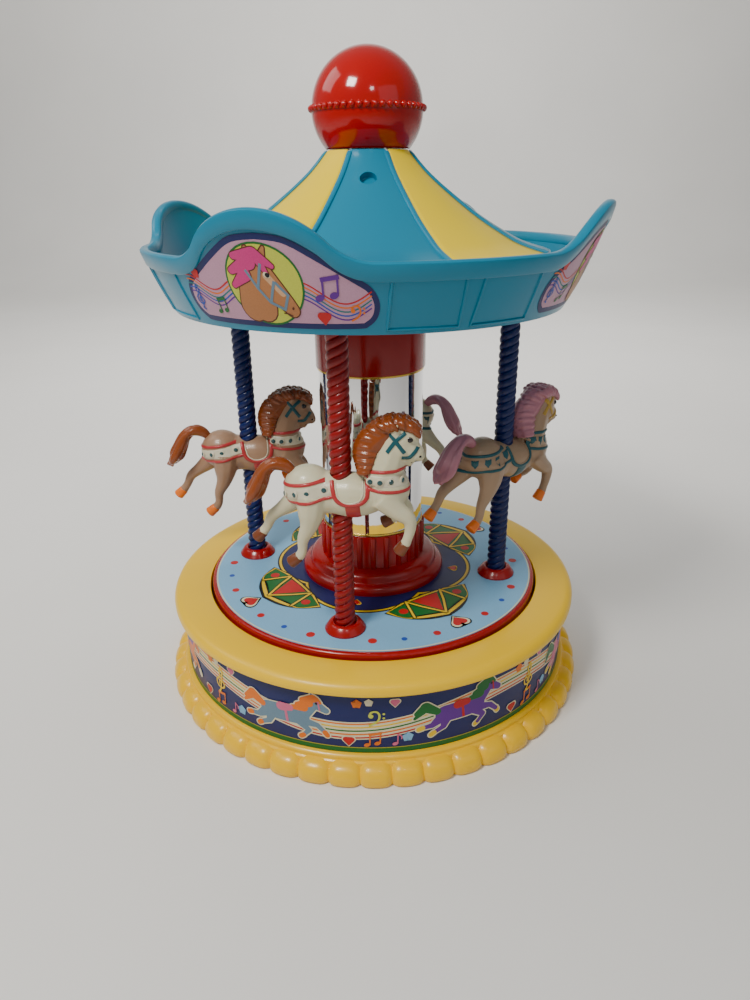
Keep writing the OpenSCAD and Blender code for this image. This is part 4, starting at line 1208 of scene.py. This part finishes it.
def stroke(line, wide):
    # one quad per step keeps every face simple
    out = []
    for (x0, y0), (x1, y1) in zip(line, line[1:]):
        d = math.hypot(x1 - x0, y1 - y0)
        if d < 0.001:
            continue
        ex, ey = (x1 - x0) / d * wide * 0.25, (y1 - y0) / d * wide * 0.25
        px, py = -(y1 - y0) / d * wide / 2, (x1 - x0) / d * wide / 2
        out.append([(x0 - ex - px, y0 - ey - py), (x1 + ex - px, y1 + ey - py), (x1 + ex + px, y1 + ey + py),
                (x0 - ex + px, y0 - ey + py)])
    return out


def heartOf(u, v, size, turn=0.0):
    pts = []
    c, s = math.cos(math.radians(turn)), math.sin(math.radians(turn))
    for i in range(28):
        t = math.tau * i / 28
        x = 16 * math.sin(t) ** 3
        y = 13 * math.cos(t) - 5 * math.cos(2 * t) - 2 * math.cos(3 * t) - math.cos(4 * t)
        x, y = -x * size / 34, (y + 2) * size / 34
        pts.append((u + x * c - y * s, v + x * s + y * c))
    return pts


def starOf(u, v, r):
    return [(u + (r if i % 2 == 0 else 0.42 * r) * math.cos(math.radians(90 + 36 * i)),
            v + (r if i % 2 == 0 else 0.42 * r) * math.sin(math.radians(90 + 36 * i))) for i in range(10)]


def putNotes(sheet, u, v, k, ink, pair=True, layer=6):
    sheet.append((oval(u, v, 1.0 * k, 0.72 * k, 20), ink, layer))
    sheet += [(q, ink, layer) for q in stroke([(u + 0.85 * k, v), (u + 0.95 * k, v + 4.0 * k)], 0.42 * k)]
    if pair:
        sheet.append((oval(u + 3.2 * k, v + 0.6 * k, 1.0 * k, 0.72 * k, 20), ink, layer))
        sheet += [(q, ink, layer) for q in stroke([(u + 4.05 * k, v + 0.6 * k), (u + 4.15 * k, v + 4.6 * k)],
                0.42 * k)]
        sheet += [(q, ink, layer) for q in stroke([(u + 0.8 * k, v + 3.9 * k), (u + 4.3 * k, v + 4.5 * k)],
                0.95 * k)]
    else:
        sheet += [(q, ink, layer) for q in stroke([(u + 0.95 * k, v + 4 * k), (u + 2.3 * k, v + 2.9 * k),
                (u + 2.2 * k, v + 1.9 * k)], 0.45 * k)]


def putTreble(sheet, u, v, k, ink, layer=6):
    line = curved([(0.2, -3.6), (-0.9, -3.2), (-0.3, -2.5), (0.5, 1.0), (0.9, 3.4), (0.3, 4.4), (-0.4, 3.0),
            (-0.1, 1.6), (-1.6, 0.2), (-1.3, -1.4), (0.4, -1.7), (1.5, -0.7), (0.8, 0.5), (-0.4, 0.1),
            (-0.5, -0.8)], 4)
    sheet += [(q, ink, layer) for q in stroke([(u + x * k, v + y * k) for x, y in line], 0.5 * k)]


def putBass(sheet, u, v, k, ink, layer=6):
    line = curved([(-1.4, 0.4), (-0.9, 1.4), (0.4, 1.5), (1.0, 0.4), (0.5, -1.2), (-1.4, -2.4)], 4)
    sheet += [(q, ink, layer) for q in stroke([(u + x * k, v + y * k) for x, y in line], 0.5 * k)]
    sheet.append((oval(u - 1.0 * k, v + 0.3 * k, 0.6 * k), ink, layer))
    sheet += [(oval(u + 2.0 * k, v + y * k, 0.32 * k), ink, layer) for y in (0.9, -0.3)]


def putPony(sheet, u, v, k, way, coat, hair, tack, hoof):
    # a galloping toy pony made of rounded strokes, with a pale rim
    parts = [((-5.2, 0.2), (3.6, 0.6), 2.5, 2.7, coat), ((3.8, 1.2), (7.6, 5.0), 2.3, 1.35, coat),
            ((7.4, 5.2), (10.6, 3.4), 1.5, 0.85, coat), ((7.0, 6.0), (6.9, 7.9), 0.7, 0.25, coat),
            ((3.6, -0.6), (8.2, -1.4), 1.4, 0.75, coat), ((8.2, -1.4), (10.2, -3.4), 0.75, 0.6, coat),
            ((3.0, -0.8), (6.0, -3.4), 1.3, 0.7, coat), ((6.0, -3.4), (4.4, -5.2), 0.7, 0.55, coat),
            ((-5.6, -0.4), (-8.4, -2.6), 1.7, 0.85, coat), ((-8.4, -2.6), (-11.0, -3.0), 0.8, 0.6, coat),
            ((-4.6, -0.8), (-5.4, -3.6), 1.6, 0.8, coat), ((-5.4, -3.6), (-8.0, -5.0), 0.75, 0.6, coat),
            ((10.2, -3.4), (10.7, -4.2), 0.75, 0.7, hoof), ((4.4, -5.2), (3.7, -5.7), 0.7, 0.7, hoof),
            ((-11.0, -3.0), (-11.9, -3.3), 0.75, 0.7, hoof), ((-8.0, -5.0), (-8.7, -5.5), 0.75, 0.7, hoof),
            ((7.3, 6.6), (4.6, 5.6), 1.2, 0.9, hair), ((6.2, 5.0), (3.2, 4.0), 1.2, 0.8, hair),
            ((4.8, 3.4), (1.8, 2.9), 1.2, 0.7, hair), ((8.2, 6.6), (9.2, 5.6), 0.7, 0.4, hair),
            ((-7.2, 1.4), (-10.2, 3.2), 1.0, 1.5, hair), ((-10.2, 3.2), (-12.6, 1.6), 1.4, 0.6, hair),
            ((-10.6, 2.4), (-13.0, 0.2), 1.0, 0.4, hair)]
    for grow, base in ((0.45, 5), (0, 6)):
        for (ax, ay), (bx, by), ra, rb, ink in parts:
            a, b = (u + way * ax * k, v + ay * k), (u + way * bx * k, v + by * k)
            sheet.append((blob(a, b, ra * k + grow, rb * k + grow), "cream" if grow else ink,
                    base if grow else base + (1 if ink == hair else 0)))
    sheet.append((blob((u - way * 1.6 * k, v + 2.2 * k), (u + way * 1.0 * k, v + 2.4 * k), 1.3 * k, 1.0 * k),
            tack, 8))
    sheet += [(q, tack, 8) for q in stroke([(u - way * 0.4 * k, v + 2.4 * k), (u + way * 0.1 * k, v - 2.0 * k)],
            0.7 * k)]
    sheet += [(q, tack, 8) for q in stroke([(u + way * 8.6 * k, v + 5.8 * k), (u + way * 9.0 * k, v + 3.2 * k)],
            0.4 * k)]
    sheet.append((oval(u + way * 8.2 * k, v + 5.3 * k, 0.36 * k), "black", 9))


sheetRise = {"layer": 0.035, "shape": 0.0025, "cycle": 11}


def wrapped(name, sheet, along, body, step=2.5, across=0.0, nodes=()):
    used = sorted({ink for _, ink, _ in sheet})
    bm = bmesh.new()
    for i, (pts, ink, layer) in enumerate(sheet):
        tall = layer * sheetRise["layer"] + (i % sheetRise["cycle"]) * sheetRise["shape"]
        area = sum(a[0] * b[1] - b[0] * a[1] for a, b in zip(pts, pts[1:] + pts[:1]))
        face = bm.faces.new([bm.verts.new((u, v, tall)) for u, v in (pts if area > 0 else pts[::-1])])
        face.material_index = used.index(ink)
    bmesh.ops.triangulate(bm, faces=bm.faces[:], ngon_method="EAR_CLIP")
    for axis, gap in ((0, step), (1, across)):
        if not gap:
            continue
        lo = min(v.co[axis] for v in bm.verts)
        hi = max(v.co[axis] for v in bm.verts)
        cut = (math.floor(lo / gap) + 1) * gap
        while cut < hi:
            near = [f for f in bm.faces if min(v.co[axis] for v in f.verts) < cut < max(v.co[axis]
                    for v in f.verts)]
            geom = set(near)
            for f in near:
                geom.update(f.edges)
                geom.update(f.verts)
            if near:
                where = [0, 0, 0]
                face = [0, 0, 0]
                where[axis] = cut
                face[axis] = 1
                bmesh.ops.bisect_plane(bm, geom=list(geom), dist=0.0001, plane_co=where, plane_no=face)
            cut += gap
    for v in bm.verts:
        v.co = Vector(along(*v.co)) * mm
    me = bpy.data.meshes.new(name)
    bm.to_mesh(me)
    bm.free()
    o = bpy.data.objects.new(name, me)
    bpy.context.scene.collection.objects.link(o)
    for ink in used:
        o.data.materials.append(inks[ink])
    if nodes:
        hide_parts(*nodes)
    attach(o, body)
    return o


# ---- label in each arch ----
archLabel = {"half": [(8, 186), (15, 182.2), (20, 177.6), (24, 174.9), (28.5, 173.6), (32.3, 170.8),
        (34.3, 166.5), (33.8, 162), (31, 159), (26.5, 158.1)], "azimuth": -21.85, "flatR": 80.0,
        "squeeze": 0.93, "border": 1.7}


def archSheet():
    half = curved([(0.0, 187.0)] + archLabel["half"] + [(0.0, 157.9)], 4)
    half = [(u * 0.975, 158.2 + (v - 157.9) * archLabel["squeeze"]) for u, v in half]
    whole = half + [(-u, v) for u, v in reversed(half[1:-1])]
    whole = [(u, v) for u, v in reversed(whole)]
    inner = []
    n = len(whole)
    for i, (u, v) in enumerate(whole):
        a, b = whole[i - 1], whole[(i + 1) % n]
        dx, dy = b[0] - a[0], b[1] - a[1]
        d = math.hypot(dx, dy) or 1
        inner.append((u - dy / d * archLabel["border"], v + dx / d * archLabel["border"]))
    sheet = [(whole, "navy", 0), (inner, "mauve", 1)]
    for k, ink in enumerate(("red", "orange", "teal", "blue", "purple")):
        off = 2.4 - 1.2 * k
        left = [(-32.4 + t, 168.2 + off + 1.9 * math.cos((t - 2) * 0.30)) for t in range(1, 23)]
        right = [(11.0 + t, 166.8 + off + 3.2 * math.cos(t * 0.22 + 0.4)) for t in range(0, 21)]
        sheet += [(q, ink, 2) for line in (left, right) for q in stroke(line, 0.42)]
    sheet.append((oval(-0.6, 171.0, 12.5, 12.0), "green", 3))
    sheet.append((oval(-0.6, 171.0, 11.9, 11.4), "lime", 4))
    head = [((-6.4, 164.2), (-3.6, 172.5), 4.2, 4.4, "tan"), ((-2.6, 164.4), (-1.6, 174.0), 4.4, 4.2, "tan"),
            ((-1.8, 174.6), (5.4, 166.2), 4.5, 2.5, "tan"), ((5.2, 166.4), (7.0, 163.9), 2.6, 2.1, "tan"),
            ((-3.6, 177.8), (-3.4, 181.4), 1.5, 0.5, "tan"), ((0.4, 178.2), (2.0, 181.4), 1.4, 0.4, "tan"),
            ((1.0, 173.6), (5.0, 168.8), 1.1, 1.0, "light")]
    for grow, base in ((0.4, 5), (0, 6)):
        for a, b, ra, rb, ink in head[:-1] if grow else head:
            sheet.append((blob(a, b, ra + grow, rb + grow), "brown" if grow else ink,
                    base + (1 if ink == "light" else 0)))
    for a, b, ra, rb in (((-1.6, 179.6), (-8.0, 179.0), 2.0, 1.0), ((-3.6, 177.4), (-10.2, 174.8), 2.2, 1.0),
            ((-5.8, 173.8), (-10.6, 170.6), 1.9, 0.8), ((-1.0, 179.4), (3.4, 176.4), 1.7, 0.7),
            ((-0.6, 178.4), (1.6, 173.8), 1.3, 0.5)):
        sheet.append((blob(a, b, ra + 0.3, rb + 0.3), "brown", 7))
        sheet.append((blob(a, b, ra, rb), "magenta", 8))
    for line in ([(-5.2, 175.0), (-2.6, 170.0), (0.4, 166.0)], [(0.0, 176.9), (-2.6, 170.0)],
            [(3.0, 172.0), (0.6, 166.2)], [(6.6, 168.4), (4.6, 164.0)], [(4.6, 164.0), (0.4, 166.0)],
            [(3.4, 171.8), (6.4, 168.4)]):
        sheet += [(q, "steelBlue", 9) for q in stroke(line, 0.85)]
    sheet.append((oval(1.3, 173.9, 1.15, 0.8, -25), "cream", 9))
    sheet.append((oval(1.5, 173.9, 0.75, 0.7), "black", 10))
    sheet.append((oval(7.3, 164.4, 0.5, 0.35, 60), "brown", 10))
    sheet += [(q, "brown", 10) for q in stroke([(3.9, 162.9), (5.4, 162.7), (6.6, 162.1)], 0.35)]
    sheet.append((starOf(-26, 173.4, 1.9), "red", 6))
    putTreble(sheet, -28.6, 165.4, 0.95, "blue")
    putNotes(sheet, -21.2, 161.9, 0.95, "green")
    putNotes(sheet, 16.0, 167.6, 1.35, "purple")
    sheet.append((heartOf(16.6, 161.5, 4.6), "red", 6))
    putBass(sheet, 26.6, 163.6, 1.1, "orange")
    return sheet


def makeArchLabels():
    pieces = []
    for k in range(4):
        centre = archLabel["azimuth"] + 90 * k

        def along(u, v, tall, centre=centre):
            az = centre + math.degrees(u / archLabel["flatR"])
            return onValance(az, v - valanceLow, 0.12 + tall)

        pieces.append(wrapped("archLabel" + str(k), archSheet(), along, "carousel", 2.2, 2.2))
    o = joined("archLabels", pieces)
    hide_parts("canopy_labels")
    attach(o, "carousel")


makeArchLabels()
print("arch labels are printed")


# ---- printed deck ----
deckArt = {"rimR": 67.9, "groundR": 67.4, "lobeAt": 17.07, "lobeR": 25.7, "leafTip": 54, "leafHalf": 20.4,
        "heartAt": 58.6, "lobeHeartAt": 35.0, "dotsAt": 61.5, "lift": 0.02, "layer": 0.6}


def deckSheet():
    sheet = [(oval(0, 0, deckArt["rimR"], n=160), "cream", 0), (oval(0, 0, deckArt["groundR"], n=160), "sky",
            1)]
    turns = [poleTurn + 90 * k for k in range(4)]

    def put(a, r, across=0.0):
        # a place at angle a from the front, towards +X
        s, c = math.sin(math.radians(a)), math.cos(math.radians(a))
        return (r * s + across * c, -r * c + across * s)

    for k, (ink, cut) in enumerate((("black", 0), ("yellow", 0.7), ("black", 1.7), ("navy", 2.2))):
        for a in turns:
            u, v = put(a, deckArt["lobeAt"])
            sheet.append((oval(u, v, deckArt["lobeR"] - cut, n=72), ink, 2 + k))
    for a in turns:
        d = a + 45
        for k, (ink, cut) in enumerate((("black", 0), ("yellow", 0.8), ("black", 1.8), ("green", 2.3))):
            tip, side = deckArt["leafTip"] - cut * 1.5, deckArt["leafHalf"] - cut
            half = curved([(0.0, tip), (8.5, tip - 2.6 - cut * 0.2), (15.5, 46.2 - cut * 0.4), (side, 38.4)], 6)
            inner = [(side * 0.55, 35.4 + cut * 0.8), (0.0, 34.8 + cut)]
            ring = half + inner
            whole = ring + [(-x, y) for x, y in reversed(ring[1:-1])]
            sheet.append(([put(d, y, x) for x, y in whole], ink, 7 + k))
        sheet.append(([put(d, 49.5), put(d, 37.4, 6.2), put(d, 37.0), put(d, 37.4, -6.2)], "red", 12))
        for s in (-1, 1):
            for wide, ink, layer in ((1.8, "black", 13), (0.9, "yellow", 14)):
                line = [put(d, 51.2), put(d, 43, s * 5.2), put(d, 36.2, s * 8.6)]
                sheet += [(q, ink, layer) for q in stroke(line, wide)]
                line = [put(d, 47.5, s * 12.5), put(d, 42, s * 10.6), put(d, 36.2, s * 8.6)]
                sheet += [(q, ink, layer) for q in stroke(line, wide)]
            u, v = put(d, 41.4, s * 13.4)
            sheet.append((oval(u, v, 1.9, 1.9), "red", 12))
        u, v = put(d, deckArt["heartAt"])
        for size, ink, layer in ((9.8, "black", 8), (8.6, "cream", 9), (6.6, "red", 10)):
            sheet.append((heartOf(u, v, size, d + 180), ink, layer))
        u, v = put(a, deckArt["lobeHeartAt"])
        for size, ink, layer in ((5.0, "yellow", 8), (3.9, "red", 9)):
            sheet.append((heartOf(u, v, size, a + 180), ink, layer))
        for off, ink, r in ((11, "red", 1.7), (22, "blue", 1.15), (34, "red", 1.5)):
            for s in (-1, 1):
                u, v = put(a + s * off, deckArt["dotsAt"])
                sheet.append((oval(u, v, r), ink, 3))
    return sheet


wrapped("printedDeck", deckSheet(), lambda u, v, tall: (u, v, labelTop + deckArt["lift"] + tall
        * deckArt["layer"]), "carousel", 0)
print("deck is printed")


# ---- printed band round the base ----
band = {"figures": 8, "first": -22.5, "seam": -70, "pony": 1.42, "waves": 4, "swing": 4.4, "phase": 0.4,
        "ribbon": 7.7, "line": 0.62, "lineGap": 1.5, "raised": 0.05}


def bandSheet():
    round_ = math.tau * friezeR
    low_, high_ = friezeLow + 0.25, friezeHigh - 0.25
    sheet = []

    def wave(u):
        return (low_ + high_) / 2 + 0.6 + band["swing"] * math.sin(math.tau * u / round_ * band["waves"]
                + band["phase"])

    steps = 300
    grid = [round_ * i / steps for i in range(steps + 1)]
    for y, wide, ink, layer in ((low_ + 0.9, 1.8, "green", 1), (high_ - 0.9, 1.8, "green", 1),
            (low_ + 2.1, 0.4, "olive", 1), (high_ - 2.1, 0.4, "olive", 1)):
        sheet.append(([(0, y - wide / 2), (round_, y - wide / 2), (round_, y + wide / 2), (0, y + wide / 2)],
                ink, layer))

    def along(off, wide, ink, layer):
        for a, b in zip(grid, grid[1:]):
            sheet.append(([(a, wave(a) + off - wide / 2), (b, wave(b) + off - wide / 2),
                    (b, wave(b) + off + wide / 2), (a, wave(a) + off + wide / 2)], ink, layer))

    along(0, band["ribbon"], "cream", 1)
    for k, ink in enumerate(("orange", "yellow", "green", "orange", "red")):
        along(3.0 - band["lineGap"] * k, band["line"], ink, 2)
    looks = [("steelBlue", "orange", "pink", "orange"), ("purple", "green", "red", "yellow"),
            ("pink", "green", "blue", "yellow"), ("orange", "purple", "teal", "cream")]
    mid = (low_ + high_) / 2
    span = round_ / band["figures"]
    for i in range(band["figures"]):
        coat, hair, tack, hoof = looks[i % 4]
        u = friezeR * math.radians(band["first"] + 360 * i / band["figures"] - band["seam"])
        putPony(sheet, u, mid + (0.4 if i % 2 else -0.6), band["pony"], 1, coat, hair, tack, hoof)
        gap = u + span * 0.5
        if i % 2:
            putTreble(sheet, gap, mid + 0.5, 1.5, "yellow")
        else:
            putBass(sheet, gap, mid + 2.6, 1.5, "lime")
        putNotes(sheet, gap - 3.0, mid - 9.6, 1.15, "orange")
        putNotes(sheet, gap + 7.0, mid - 9.4, 1.05, "pink", pair=False)
        sheet.append((starOf(gap - 6.5, mid + 8.2, 2.0), "orange", 4))
        sheet.append((starOf(gap - 2.2, mid + 8.8, 1.7), "cream", 4))
        sheet.append((starOf(gap + 11.5, mid - 6.8, 2.2), "sky", 4))
        for size, ink, layer in ((5.6, "cream", 4), (4.6, "red", 5)):
            sheet.append((heartOf(gap - 9.5, mid - 8.2, size), ink, layer))
            sheet.append((heartOf(gap + 7.0, mid + 8.4, size * 0.8), "cream" if layer == 4 else "pink", layer))
    return sheet


def onBand(u, v, tall):
    a = u / friezeR + math.radians(band["seam"])
    r = friezeR + band["raised"] + tall
    return (r * math.sin(a), -r * math.cos(a), v)


wrapped("printedBand", bandSheet(), onBand, "base", 2.6)
print("band is printed")


# ---- CAD nodes that stay, with their finishes ----
finishOf = {"deck": "red", "bottom_cover": "cover", "cam_track": "acetal", "bedplate": "steel",
        "cylinder_brackets": "steel", "train_bridge": "steel", "pawl_post": "steel", "winding_shaft": "steel",
        "ratchet_wheel": "steel", "idler_arbor": "steel", "governor_fan": "steel", "ratchet_pawl": "steel",
        "cover_screws": "zinc", "bedplate_screws": "zinc", "comb_screws": "zinc", "deck_screws": "zinc",
        "roof_screws": "zinc", "music_comb": "comb", "comb_block": "cast", "spring_barrel": "brass",
        "barrel_cap": "brass", "music_cylinder": "brass", "cylinder_pinion": "brass", "mainspring": "spring",
        "idler_wheel": "acetal", "governor_pinion": "acetal",}
look["bandGround"] = inks["navy"]
look["deckGround"] = inks["sky"]
finishOf["frieze_band"] = "bandGround"
finishOf["deck_label"] = "deckGround"
for node, finish in finishOf.items():
    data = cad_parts[node].data
    data.materials.clear()
    data.materials.append(look[finish])
print("carried-over nodes have their finishes")
